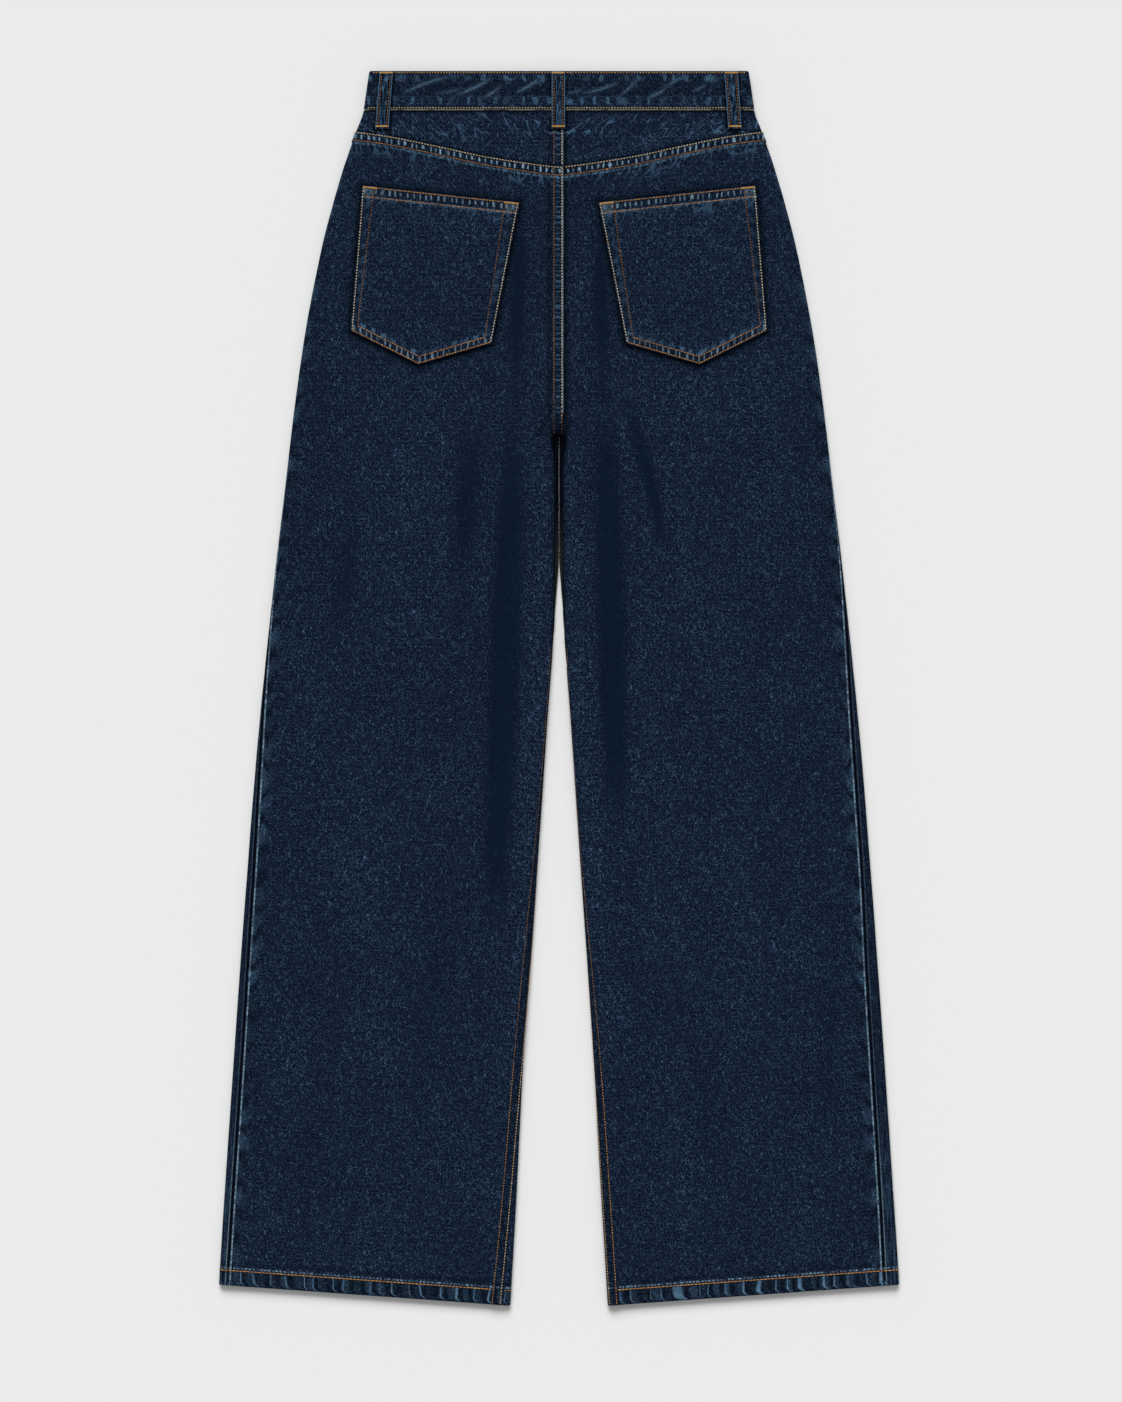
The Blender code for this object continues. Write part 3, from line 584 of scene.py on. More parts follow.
def back_leg(side):
    band = [(off, 0.0) for off in (0.0, 0.5, 1.4, 2.8, 4.4, 6.0, 7.6, FELL, FELL + FELL_STEP)]
    below_band = [(FELL + FELL_STEP, share) for share in np.linspace(0, 1, 15)[1:-1]]
    top = []
    for off, share in band + below_band:

        def down_at(length):
            first = yoke_seam(side, length, SEAM_GAP / 2) + off
            return first + (LEG_ROWS[0] - first) * share

        top.append(settled_row(side, 76.0, down_at))
    down = np.array([down for down, _ in top] + [np.full(len(top[0][1]), row) for row in LEG_ROWS])
    length = np.array([length for _, length in top] + list(back_columns(side, LEG_ROWS)[0]))
    spots = on_tube(side, down, length)
    across = side * spots[..., 0] / MM
    from_inner, off_side = panel_edges(side, down, length)
    off_inner = from_inner / column_stretch(down)
    off_top = down - yoke_seam(side, length, SEAM_GAP / 2)
    off_hem = HEM_MID - down
    lift = np.maximum(inner_fell(side, down, off_inner), FELL_RAISE * felled(off_top))
    inside = smooth(off_inner / 14 - 0.3) * smooth(off_side / 10) * smooth(off_top / 14 - 0.6) * smooth(off_hem / 10)
    lift = lift + relief(side, across, down) * inside - 0.7 * (1 - quarter_round(off_hem / 1.2))
    points = on_tube(side, down, length, lift)
    trough, rub_and_highlight = fold_shade_and_highlight(side, across, down)
    # painted shade: round the pockets, under the step of the felled band, beside the seat seam and between the legs
    shade = np.maximum.reduce([
        near_pocket(across, down), 0.7 * np.exp(-(((off_top - 11.5) / 1.8) ** 2)),
        beside_seat(side, off_inner) * (down < CROTCH), in_slot(across, down),
    ])  # fmt: skip
    # the material draws no puckers where the legs touch, nor on the right panel beside the seat seam
    hidden = smooth((down - 318) / 8) * (1 - smooth((down - 500) / 60))
    off_inner = off_inner + FAR * np.maximum(hidden, (side == RIGHT) * (down < CROTCH))
    ply = PLY + np.where(off_hem <= HEM_FOLD, 1.0, 0.0) + np.clip(lift, 0, 1)
    piece = sheet_of_cloth(
        f"{WORDS[side]}_back_leg", points, ply, side == LEFT, cloth=(length + APART * (side == RIGHT), down),
        seams=(off_top, off_inner, off_side), trough=trough, rub_and_highlight=rub_and_highlight, shade=shade, hem=off_hem,
    )  # fmt: skip
    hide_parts(f"back_leg_{WORDS[side]}")
    return piece


back_legs = {side: back_leg(side) for side in (LEFT, RIGHT)}

# %% [markdown]
# ## The front legs
#
# The front lies on the floor, so its grid can be coarser. All that shows from above is the strip that has turned onto
# the back along each edge. The mouth of the front pocket is scooped out of its top corner.

# %% The front panels
SCOOP_WIDTH, SCOOP_DOWN, SCOOP_POWER = 62.0, 110.0, 1.7


def scoop(down):
    """How much of the front panel's side the mouth of its pocket takes away."""
    share = np.clip((down - WAISTBAND) / (SCOOP_DOWN - WAISTBAND), 0, 1)
    return SCOOP_WIDTH * (1 - share**SCOOP_POWER)


def front_columns(side, down):
    edge, whole = at_side_edge(side, down), whole_way(side, down)
    start = edge - turned("side", side, down) + scoop(down) + SEAM_GAP / 2
    end = whole + np.where(down > CROTCH, turned("inner", side, down), 0.0) - SEAM_GAP / 2
    first = start[:, None] + np.array([0, 0.5, 1.5, 3.0, 4.6, 6.2, 8.0, 10.0, 12.0, 14.5, 17.0, 20.0])
    last = end[:, None] - np.array([18.0, 15.0, 12.5, 10.5, 9.0, 7.5, 6.0, 4.6, 3.2, 2.0, 1.0, 0.4, 0.0])
    middle = first[:, -1:] + (last[:, :1] - first[:, -1:]) * np.linspace(0, 1, 26)[1:-1]
    return np.concatenate((first, middle, last), axis=1), start, end


def front_leg(side):
    rows = np.concatenate((
        [WAISTBAND + SEAM_GAP / 2], np.arange(37, 109, 3.0), UPPER_ROWS[::2], CROTCH_ROWS,
        LOWER_ROWS[:1], LOWER_ROWS[1::2], HEM_ROWS,
    ))  # fmt: skip
    length, start, end = front_columns(side, rows)
    down = np.broadcast_to(rows[:, None], length.shape)
    off_side, off_hem = length - start[:, None], HEM_MID - down
    points = on_tube(side, down, length, -0.7 * (1 - quarter_round(off_hem / 1.2)))
    ply = PLY + np.where(off_hem <= HEM_FOLD, 1.0, 0.0)
    mouth = np.where(down < SCOOP_DOWN, off_side, FAR)
    piece = sheet_of_cloth(
        f"{WORDS[side]}_front_leg", points, ply, side == LEFT,
        cloth=(length + APART * (2 + (side == RIGHT)), down), seams=(mouth, FAR, off_side), hem=off_hem,
    )  # fmt: skip
    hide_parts(f"front_leg_{WORDS[side]}")
    return piece


front_legs = {side: front_leg(side) for side in (LEFT, RIGHT)}

# %% Where the belt loops lie
LOOP_WIDTH, LOOP_PLY, LOOP_DOWN, LOOP_SLACK = 12.0, 1.7, 51.0, 1.2
LOOPS = table(
    "name across_top across_low on_back",
    ("belt_loop_back", -0.5, -0.5, True),
    ("belt_loop_back_left", -151.0, -155.0, True),
    ("belt_loop_back_right", 150.5, 154.0, True),
    ("belt_loop_front_left", -88.0, -89.0, False),
    ("belt_loop_front_right", 88.0, 89.0, False),
)


def beside_loop(across, down):
    """How deep in the painted shade beside a belt loop a point of the back is, from 0 to 1."""
    total = 0.0
    for loop in (loop for loop in LOOPS if loop.on_back):
        middle = loop.across_top + (loop.across_low - loop.across_top) * down / LOOP_DOWN
        out = np.maximum(np.abs(across - middle) - LOOP_WIDTH / 2, (down - LOOP_DOWN) / 0.7)
        total = np.maximum(total, 1 - smooth((out - 0.8) / 2.4))
    return total


# %% [markdown]
# ## The yoke
#
# The yoke is the V-shaped piece between the waistband and the legs. Darts are hidden in its seam, which is how flat
# denim gets room for the seat. Its lower edge slips under the band of the back leg.


# %% The yoke panels
def yoke(side):
    top = WAISTBAND + SEAM_GAP / 2
    rows = []
    for share in np.linspace(0, 1, 26):

        def down_at(length):
            return top + (yoke_seam(side, length, -SEAM_GAP / 2) - top) * share

        rows.append(settled_row(side, 60.0, down_at))
    down, length = (np.array(part) for part in zip(*rows))
    low = yoke_seam(side, length, -SEAM_GAP / 2)
    off_inner, off_side = panel_edges(side, down, length)
    lift = inner_fell(side, down, off_inner)
    across = on_tube(side, down, length)[..., 0] * side / MM
    inside = smooth(off_inner / 14 - 0.3) * smooth(off_side / 10)
    inside = inside * smooth((down - WAISTBAND) / 8) * smooth((low - down) / 8)
    lift = lift + relief(side, across, down) * inside
    # painted shade: under the waistband, along the lower edge under the leg's band, beside the seat seam and the belt
    # loops
    shade = np.maximum.reduce([
        0.95 * np.exp(-(((down - WAISTBAND) / 2.6) ** 2)), 0.8 * np.exp(-(((low - down) / 1.6) ** 2)),
        beside_seat(side, off_inner), beside_loop(side * across, down),
    ])  # fmt: skip
    piece = sheet_of_cloth(
        f"{WORDS[side]}_yoke", on_tube(side, down, length, lift), PLY + np.clip(lift, 0, 1), side == LEFT,
        cloth=(length + APART * (0.5 + (side == RIGHT)), down), seams=(FAR, off_inner + FAR * (side == RIGHT), FAR),
        rub_and_highlight=0.5 * np.exp(-(((low - down - 6) / 5) ** 2)), shade=shade,
    )  # fmt: skip
    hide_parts(f"yoke_{WORDS[side]}")
    return piece


yokes = {side: yoke(side) for side in (LEFT, RIGHT)}

# %% [markdown]
# ## Patch pockets
#
# A back pocket is one patch with five corners. Its mouth is hemmed and its other edges are folded under, so the rim is
# thicker than the middle. It lies on the leg: its points are the leg's own points, moved out.

# %% The pockets
def pocket_lines(size, first, last, count=91):
    """Where the lines of a pocket's grid lie, as shares of its size: close together at the two edges."""
    middle = np.linspace(first[-1], size - last[-1], count - len(first) - len(last) + 2)[1:-1]
    return np.concatenate((first, middle, size - last[::-1])) / size


def pocket(side):
    rim_lines = np.array([0, 0.4, 1.0, 2.4, 4.0, 5.6, 7.0, 8.0, 9.2])
    mouth_lines = np.array([0, 0.4, 1.0, 2.6, 4.2, 5.8, 7.4, 9.0, 10.0, 11.2])
    u = pocket_lines(POCKET_WIDTH, rim_lines, rim_lines)[None, :, None]
    v = pocket_lines(POCKET_SIDE, mouth_lines, rim_lines)[:, None, None]
    top = POCKET_TOP_INNER + (POCKET_TOP_OUTER - POCKET_TOP_INNER) * u
    low = np.where(
        u <= 0.5,
        POCKET_LOW_INNER + (POCKET_TIP - POCKET_LOW_INNER) * u * 2,
        POCKET_TIP + (POCKET_LOW_OUTER - POCKET_TIP) * (u * 2 - 1),
    )
    spot = top + (low - top) * v
    across, down = spot[..., 0], spot[..., 1]
    mouth, inner, outer, low_inner, low_outer = pocket_offs(spot)
    below = np.minimum(low_inner, low_outer)
    rim = np.minimum(np.minimum(inner, outer), below)
    edge = np.minimum(mouth, rim)
    raised = POCKET_RAISE * np.maximum(1 - smooth((mouth - POCKET_HEM) / 1.2), 1 - smooth((rim - POCKET_RIM) / 1.2))
    raised = raised - 0.75 * (1 - quarter_round(edge / 1.1))
    sag = 0.12 * uneven(RIPPLES, across, down, 1.3) * smooth((edge - 6) / 8)
    points = on_back(side, across, down, POCKET_LIFT + raised + sag + relief(side, across, down))
    piece = sheet_of_cloth(
        f"{WORDS[side]}_back_pocket", points, PLY + np.clip(raised, 0, 1), side == LEFT,
        cloth=(side * across + 4 * APART, down), seams=(mouth, np.minimum(inner, outer), below), rub_and_highlight=0.15,
    )  # fmt: skip
    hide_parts(f"back_pocket_{WORDS[side]}")
    return piece


pockets = {side: pocket(side) for side in (LEFT, RIGHT)}

# %% [markdown]
# ## The waistband
#
# The waistband is one strip folded along its top, so it is thick and its top edge is round. It runs from one end of the
# fly, which is underneath, over the back and round to the other end.

# %% The waistband
BAND_PLY, BAND_FLOOR, BAND_TOP, TAB_END = 2.4, 2.3, 7.9, 16.0
BAND_CLOTH, LOOP_CLOTH = 3600.0, 4300.0  # where the cloth of the band and of the first loop is counted from
BAND_CREASE = 2.8  # above this height over its own floor, the band's face is the one on top
DRAGS = table(
    "across_from down_from across_to down_to bend strength",
    (-139, 21.0, -95, 5.0, 1.6, 0.9), (-118, 12.0, -104, 7.0, 0.5, 0.5), (-108, 19.5, -84, 15.0, -1.0, 0.5),
    (-91, 21.5, -58, 5.6, -1.6, 1.0), (-67, 24.5, -50, 12.5, -0.8, 0.7), (-47, 12.0, -36, 5.0, 0.5, 0.5),
    (-39, 19.5, -17, 6.0, -1.4, 1.0), (-27, 14.0, -12, 8.5, 0.6, 0.5), (6, 20.0, 22, 15.5, -0.8, 0.5),
    (19, 20.0, 53, 9.5, -1.5, 0.8), (51, 25.0, 70, 9.5, 1.0, 0.6), (60, 15.0, 72, 6.0, 0.5, 0.5),
    (76, 24.5, 95, 14.5, -0.8, 0.9), (92, 15.5, 113, 3.8, 0.9, 0.7), (116, 18.5, 130, 11.0, -0.7, 0.6),
    (132, 13.0, 143, 6.0, 0.5, 0.4), (156, 22.0, 164, 16.0, 0.3, 0.4), (-163, 20.0, -157, 13.0, 0.3, 0.4),
)  # fmt: skip


def band_round(down, lift):
    """Points round the waistband at one distance down: under the front, over one side, the back, and under again."""
    at_top, at_foot = read(SIDES, "half_width", 0), read(SIDES, "half_width", WAISTBAND)
    radius = (BAND_TOP - BAND_FLOOR) / 2
    straight = at_top + (at_foot - at_top) * down / WAISTBAND - radius
    angles = np.radians(np.arange(-75, 90, 15))
    under = np.linspace(TAB_END + SEAM_GAP, straight, 40)
    over = np.linspace(straight, -straight, 321)
    back_under = np.linspace(-straight, TAB_END, 44)
    reach = radius + lift
    turn, rising = straight + reach * np.cos(angles), BAND_FLOOR + radius + reach * np.sin(angles)
    across = np.concatenate((under, turn, over, -turn[::-1], back_under))
    floor, top = np.full(len(under), BAND_FLOOR - lift), np.full(len(over), BAND_TOP + lift)
    height = np.concatenate((floor, rising, top, rising[::-1], np.full(len(back_under), BAND_FLOOR - lift)))
    return across, height


def dragged(across, down):
    """How far up the nearest slanting drag line a point of the waistband is, from 0 to 1."""
    total = 0.0
    for drag in DRAGS:
        wide, tall = drag.across_to - drag.across_from, drag.down_to - drag.down_from
        long = math.hypot(wide, tall)
        along = ((across - drag.across_from) * wide + (down - drag.down_from) * tall) / long**2
        bow = np.sin(math.pi * np.clip(along, 0, 1))
        off = ((across - drag.across_from) * tall - (down - drag.down_from) * wide) / long - drag.bend * bow
        line = 0.75 * np.exp(-((off / 0.65) ** 2)) + 0.35 * np.exp(-((off / 2.2) ** 2))
        total = np.maximum(total, drag.strength * bow**0.7 * line)
    return total


def waistband():
    close = np.array([0, 0.35, 0.9, 1.8])
    downs = np.concatenate((close, np.linspace(3, WAISTBAND - 3, 22), WAISTBAND - SEAM_GAP / 2 - close[::-1]))
    points, cloth, drags, dark = [], [], [], []
    for down in downs:
        edge = min(down, WAISTBAND - SEAM_GAP / 2 - down)
        across, height = band_round(down, -0.9 * float(1 - quarter_round(edge / 1.6)))
        on_top = height > BAND_FLOOR + BAND_CREASE
        drags.append(np.where(on_top, dragged(across, down), dragged(24 - across, down)))
        # painted shade on the band beside the back belt loops
        dark.append(beside_loop(across, down) * on_top)
        raised = (0.35 * drags[-1] + 0.12 * uneven(RIPPLES, across, down)) * on_top * smooth(edge / 6)
        points.append(np.stack((across, np.full_like(across, LENGTH / 2 - down), height + raised), axis=1) * MM)
        cloth.append(across + BAND_CLOTH)
    points = np.array(points)
    down = np.broadcast_to(downs[:, None], points.shape[:2])
    piece = sheet_of_cloth(
        "waist_band", points, BAND_PLY, True,
        cloth=(np.array(cloth), down), seams=(down, WAISTBAND - down), rub_and_highlight=np.array(drags), shade=np.array(dark),
    )  # fmt: skip
    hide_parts("waistband")
    return piece


band = waistband()

# %% [markdown]
# ## Belt loops
#
# A belt loop is a narrow strip with its edges folded in and a row of stitches along each. Both ends are folded under
# and held by a bar tack. Between the tacks it stands a little off the band.

# %% The belt loops
def loop_face(loop, share, n):
    """A point on the outer face of a belt loop: share runs down it from 0 to 1, and n across it from -0.5 to 0.5."""
    down = 0.6 + (LOOP_DOWN - 0.6) * share
    middle = loop.across_top + (loop.across_low - loop.across_top) * share
    slack = LOOP_SLACK * np.sin(math.pi * np.clip(share / 0.85, 0, 1))
    across = middle + n * LOOP_WIDTH
    from_edge = (0.5 - np.abs(n)) * LOOP_WIDTH
    from_end = np.minimum(share, 1 - share) * LOOP_DOWN
    rounded = 0.6 * (1 - quarter_round(from_edge / 1.1)) + 0.6 * (1 - quarter_round(from_end / 1.1))
    rounded = rounded + 0.22 * np.exp(-(((from_edge - 2.1) / 0.7) ** 2)) - 0.12 * np.exp(-((from_edge - 6) / 2.5) ** 2)
    if loop.on_back:
        under = np.where(down < WAISTBAND + 4, BAND_TOP, BAND_TOP - 0.5 * smooth((down - WAISTBAND - 4) / 8))
        height = under + SEAM_GAP + LOOP_PLY + slack - rounded
    else:
        height = BAND_FLOOR - SEAM_GAP - LOOP_PLY + rounded
    return np.stack(np.broadcast_arrays(across, LENGTH / 2 - down, height), axis=-1) * MM


def belt_loop(loop):
    share = np.concatenate(([0, 0.006, 0.014, 0.03], np.linspace(0.05, 0.95, 40), [0.97, 0.986, 0.994, 1]))[:, None]
    half = np.array([0, 0.1, 0.2, 0.28, 0.33, 0.38, 0.43, 0.47, 0.5])
    n = np.concatenate((-half[:0:-1], half))[None, :]
    points = loop_face(loop, share, n)
    across, down = np.broadcast_arrays(n * LOOP_WIDTH, share * LOOP_DOWN)
    from_edge = (0.5 - np.abs(n)) * LOOP_WIDTH + 0 * share
    ply = LOOP_PLY - 0.5 * (1 - quarter_round(from_edge / 1.1))
    piece = sheet_of_cloth(
        f"{loop.name}_strip", points, ply, not loop.on_back,
        cloth=(across + 40 * LOOPS.index(loop) + LOOP_CLOTH, down), seams=(FAR, from_edge, FAR), rub_and_highlight=0.2,
    )  # fmt: skip
    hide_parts(loop.name)
    return piece


loops = [belt_loop(loop) for loop in LOOPS]

# %% [markdown]
# ## Stitches
#
# A stitch is a short thread that dips into the cloth at both ends. One small body is made once, and copies of it are
# laid along each row of stitches, turned to the row and to the cloth under it. `tone` runs from rust to gold to pale.

# %% One stitch, and a row of them
THREAD_RADIUS = 0.50


def stitch_body():
    maker = bmesh.new()
    bmesh.ops.create_uvsphere(maker, u_segments=6, v_segments=5, radius=1.0)
    bmesh.ops.rotate(maker, verts=maker.verts, cent=(0, 0, 0), matrix=Matrix.Rotation(math.radians(90), 3, "Y"))
    verts = np.array([vert.co[:] for vert in maker.verts])
    faces = [[vert.index for vert in face.verts] for face in maker.faces]
    maker.free()
    return verts, faces


BODY, BODY_FACES = stitch_body()
rows_of_thread = []


def stitch_row(path, outward, pitch=2.55, share=0.80, tone=0.5, width=1.0, spread=0.08):
    """Lays stitches along a path of points (metres). outward is the direction off the cloth at each point."""
    steps = np.linalg.norm(np.diff(path, axis=0), axis=1)
    along = np.concatenate(([0.0], np.cumsum(steps)))
    count = max(int(along[-1] / (pitch * MM)), 1)
    at = (np.arange(count) + 0.5) * along[-1] / count
    half = along[-1] / count * share / 2

    def read_at(values, where):
        return np.stack([np.interp(where, along, values[:, n]) for n in range(3)], axis=1)

    middle, way = read_at(path, at), read_at(path, at + half) - read_at(path, at - half)
    way /= np.maximum(np.linalg.norm(way, axis=1, keepdims=True), 1e-12)
    up = read_at(outward, at)
    up -= way * np.sum(up * way, axis=1, keepdims=True)
    up /= np.linalg.norm(up, axis=1, keepdims=True)
    across = np.cross(up, way)
    way = way + across * chance.normal(0, 0.04, (count, 1))
    size = THREAD_RADIUS * width * MM * chance.uniform(0.92, 1.08, (count, 1, 1))
    long = half * chance.uniform(0.93, 1.05, (count, 1, 1))
    body = (
        middle[:, None]
        + up[:, None] * (0.10 * MM * width)
        + way[:, None] * BODY[None, :, :1] * long
        + across[:, None] * BODY[None, :, 1:2] * size
        + up[:, None] * BODY[None, :, 2:] * size * 0.8
    )
    tones = np.repeat(np.clip(chance.normal(tone, spread, count), 0, 1), len(BODY))
    rows_of_thread.append((body.reshape(-1, 3), tones))


def sew(name):
    """Joins the rows laid so far into one mesh of thread."""
    spots = np.concatenate([row for row, _ in rows_of_thread])
    tones = np.concatenate([tone for _, tone in rows_of_thread])
    rows_of_thread.clear()
    copies = len(spots) // len(BODY)
    faces = [[v + n * len(BODY) for v in face] for n in range(copies) for face in BODY_FACES]
    mesh = bpy.data.meshes.new(name)
    mesh.from_pydata(spots.tolist(), [], faces)
    mesh.attributes.new("tone", "FLOAT", "POINT").data.foreach_set("value", tones.astype(np.float32))
    mesh.shade_smooth()
    piece = bpy.data.objects.new(name, mesh)
    bpy.context.scene.collection.objects.link(piece)
    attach(piece, "root")
    print(name, "stitches:", copies)
    return piece


UP = np.array((0.0, 0.0, 1.0))


def tube_row(side, down, length, lift, **how):
    """A row of stitches on the form of a leg."""
    on, off = on_tube(side, down, length, lift), on_tube(side, down, length, lift + 1.0)
    stitch_row(on, off - on, **how)


def flat_row(points, **how):
    """A row on a surface that faces up."""
    stitch_row(points, np.broadcast_to(UP, points.shape), **how)


print("one stitch has", len(BODY_FACES), "faces")

# %% Rows on the legs and yoke
SUNK = 0.43  # rows underneath sink this far into the cloth, so that the jeans lie flat
HEM_ROW = HEM_MID - 13.2
INSEAM_ROWS = {LEFT: ((1.2, 0.75), (8.1, 0.42)), RIGHT: ((2.0, 0.65), (8.1, 0.5))}
FLY_OUT, FLY_DOWN, FLY_FOOT = (36.0, 30.0), 138.0, 1.0


def band_rows(side):
    """Two rows across the top of the leg, on the band that is folded over the yoke."""
    start, end = float(back_columns(side, np.array(80.0))[1]), float(back_columns(side, np.array(56.0))[2])
    for off, tone, share in ((1.3, 0.80, 0.72), (8.2, 0.30, 0.95)):
        length = np.linspace(start + 1, end - 0.5, 200)
        tube_row(side, yoke_seam(side, length, off + SEAM_GAP / 2), length, FELL_RAISE, tone=tone, share=share)


def inseam_rows(side):
    """Two rows down the felled inseam, paler towards the hem."""
    for low, high, fade in ((505, 700, 0.35), (701, 860, 0.2), (861, HEM_MID - 0.8, 0.0)):
        down = np.linspace(low, high, 140)
        start = turned("inner", side, down) + SEAM_GAP / 2
        for off, tone in INSEAM_ROWS[side]:
            tube_row(side, down, start + off, FELL_RAISE, tone=tone - fade, share=0.72, width=0.85)


def hem_rows(side):
    for columns, sunk in ((back_columns, 0.0), (front_columns, SUNK)):
        start, end = columns(side, np.array([HEM_ROW]))[1:]
        length = np.linspace(start[0], end[0], 300)
        lift = 0.05 - sunk * smooth((length - at_side_edge(side, HEM_ROW)) / 6)
        tube_row(side, HEM_ROW, length, lift, tone=0.52, pitch=3.2, share=1.0)


for side in (LEFT, RIGHT):
    band_rows(side)
    inseam_rows(side)
    hem_rows(side)

# along the mouths of the front pockets, and the hook that holds the fly
for side in (LEFT, RIGHT):
    down = np.linspace(WAISTBAND + 1, SCOOP_DOWN + 6, 120)
    mouth = at_side_edge(side, down) - turned("side", side, down) + scoop(down)
    for off in (1.4, 7.4):
        tube_row(side, down, mouth + off, -SUNK, tone=0.4)
bend = np.linspace(0, math.pi / 2, 60)
for reach in FLY_OUT:
    down = np.concatenate((np.linspace(WAISTBAND + 1, FLY_DOWN, 60), FLY_DOWN + 2 + (reach + 6) * np.sin(bend)))
    out = np.concatenate((np.full(60, reach), FLY_FOOT + (reach - FLY_FOOT) * np.cos(bend)))
    tube_row(LEFT, down, whole_way(LEFT, down) - out, -SUNK, tone=0.4)

# down the seat seam, on the left back's band: the yoke, the leg, and three short ends, darker towards the crotch as
# painted shade
SEAT_ROWS = (
    (WAISTBAND + 1, 82.0, 0.0), (84.5, 292.0, 0.0), (292.5, 300.0, 0.2), (300.5, 309.0, 0.6), (309.5, 318.0, 1.0)
)  # fmt: skip
for low, high, fade in SEAT_ROWS:
    down = np.linspace(low, high, 200)
    lift = FELL_RAISE * smooth((CROTCH - down) / 20)
    for off, tone in ((1.3, 0.92), (8.2, 0.25)):
        length = np.full(200, off - CENTRE_LAP + SEAM_GAP / 2)
        tube_row(LEFT, down, length, lift, tone=tone - fade, share=0.75)
leg_thread = sew("leg_stitches")


# %% Rows round the pockets
def between(a, b, count=80):
    return a + (b - a) * np.linspace(0, 1, count)[:, None]


def on_rim(side, spots):
    """Points on the raised rim of a pocket, from places across and down."""
    across, down = spots[:, 0], spots[:, 1]
    return on_back(side, across, down, POCKET_LIFT + POCKET_RAISE + relief(side, across, down))


def pocket_row(side, spots, **how):
    """A row on the rim of a pocket, through these corners (across, down)."""
    spots = np.concatenate([between(np.array(a), np.array(b)) for a, b in zip(spots, spots[1:])])
    spots = spots[np.concatenate(([True], np.hypot(*np.diff(spots, axis=0).T) > 1e-6))]
    flat_row(on_rim(side, spots), **how)


def inset(a, b, c, first, second):
    """The corner at b, moved in from the edges a-b and b-c by these distances."""
    a, b, c = (np.array(p, float) for p in (a, b, c))
    one, two = (b - a) / np.hypot(*(b - a)), (c - b) / np.hypot(*(c - b))
    in_one, in_two = np.array((one[1], -one[0])), np.array((two[1], -two[0]))
    return b + np.linalg.solve(np.array((in_one, in_two)), np.array((first, second)))


def ring_corners(*insets):
    """The corners of a ring on the pocket, each moved in from the two edges that meet there by these distances."""
    ring = [POCKET_TOP_INNER, POCKET_LOW_INNER, POCKET_TIP, POCKET_LOW_OUTER, POCKET_TOP_OUTER]
    return [inset(ring[n - 1], ring[n], ring[(n + 1) % 5], *offs) for n, offs in enumerate(insets)]


OUTER_ROW = ring_corners((1.3, 1.4), (1.4, 1.4), (1.4, 1.4), (1.4, 1.4), (1.4, 1.3))
INNER_ROW = ring_corners((1.3, 12.5), (7.0, 6.9), (6.9, 6.9), (6.9, 5.8), (10.5, 1.3))
MOUTH_ROW = ring_corners((9.6, 1.4), (1.4, 1.4), (1.4, 1.4), (1.4, 1.4), (1.4, 9.6))
POCKET_ROWS = table(
    "spots tone share",
    (OUTER_ROW[:2], 0.9, 0.7),
    (OUTER_ROW[3:], 0.9, 0.7),
    (OUTER_ROW[1:4], 0.45, 0.92),
    (INNER_ROW[:2], 0.2, 0.75),
    (INNER_ROW[3:], 0.2, 0.75),
    (INNER_ROW[1:4], 0.4, 0.92),
    (OUTER_ROW[::4], 0.45, 0.85),
    (MOUTH_ROW[::4], 0.42, 0.85),
)
for side in (LEFT, RIGHT):
    for row in POCKET_ROWS:
        pocket_row(side, row.spots, tone=row.tone, share=row.share)
pocket_thread = sew("pocket_stitches")

# %% Rows on the waistband and the loops
for down, tone in ((1.7, 0.6), (32.4, 0.72)):
    half = float(read(SIDES, "half_width", 0) + 5.0 * down / WAISTBAND) - 3
    across = np.linspace(-half, half, 300)
    for height, up in ((BAND_TOP - 0.02, UP), (BAND_FLOOR + 0.02, -UP)):
        spots = np.stack((across, np.full(300, LENGTH / 2 - down), np.full(300, height)), axis=1) * MM
        stitch_row(spots, np.broadcast_to(up, spots.shape), pitch=2.45, tone=tone, share=0.62)
share = np.linspace(0.07, 0.925, 60)
for loop in LOOPS:
    up = UP if loop.on_back else -UP
    for n in (-0.325, 0.325):
        stitch_row(loop_face(loop, share, n), np.broadcast_to(up, (60, 3)), tone=0.3, share=0.7, width=0.85)
band_thread = sew("waistband_stitches")


# %% [markdown]
# A bar tack is a dense run of short stitches laid across, which holds the places that tear first: the ends of the belt
# loops and the corners of the pockets.


# %% Bar tacks
TACK_PITCH, TACK_LIFT, TACK_LENGTH, TACK_THREAD = 0.62, 0.28, 1.9, 0.41


def bar_tack(start, end, outward, tone=0.62):
    """A bar of tight stitches from start to end (metres)."""
    length = np.linalg.norm(end - start)
    way = (end - start) / length
    across = np.cross(outward, way)
    count = int(length / (TACK_PITCH * MM))
    middle = start + (end - start) * ((np.arange(count) + 0.5) / count)[:, None]
    body = (
        middle[:, None]
        + outward * (TACK_LIFT * MM)
        + across * BODY[None, :, :1] * TACK_LENGTH / 2 * MM * chance.uniform(0.86, 1.1, (count, 1, 1))
        + way * BODY[None, :, 1:2] * TACK_THREAD * MM
        + outward * BODY[None, :, 2:] * TACK_THREAD * MM
    )
    rows_of_thread.append((body.reshape(-1, 3), np.repeat(np.clip(chance.normal(tone, 0.06, count), 0, 1), len(BODY))))


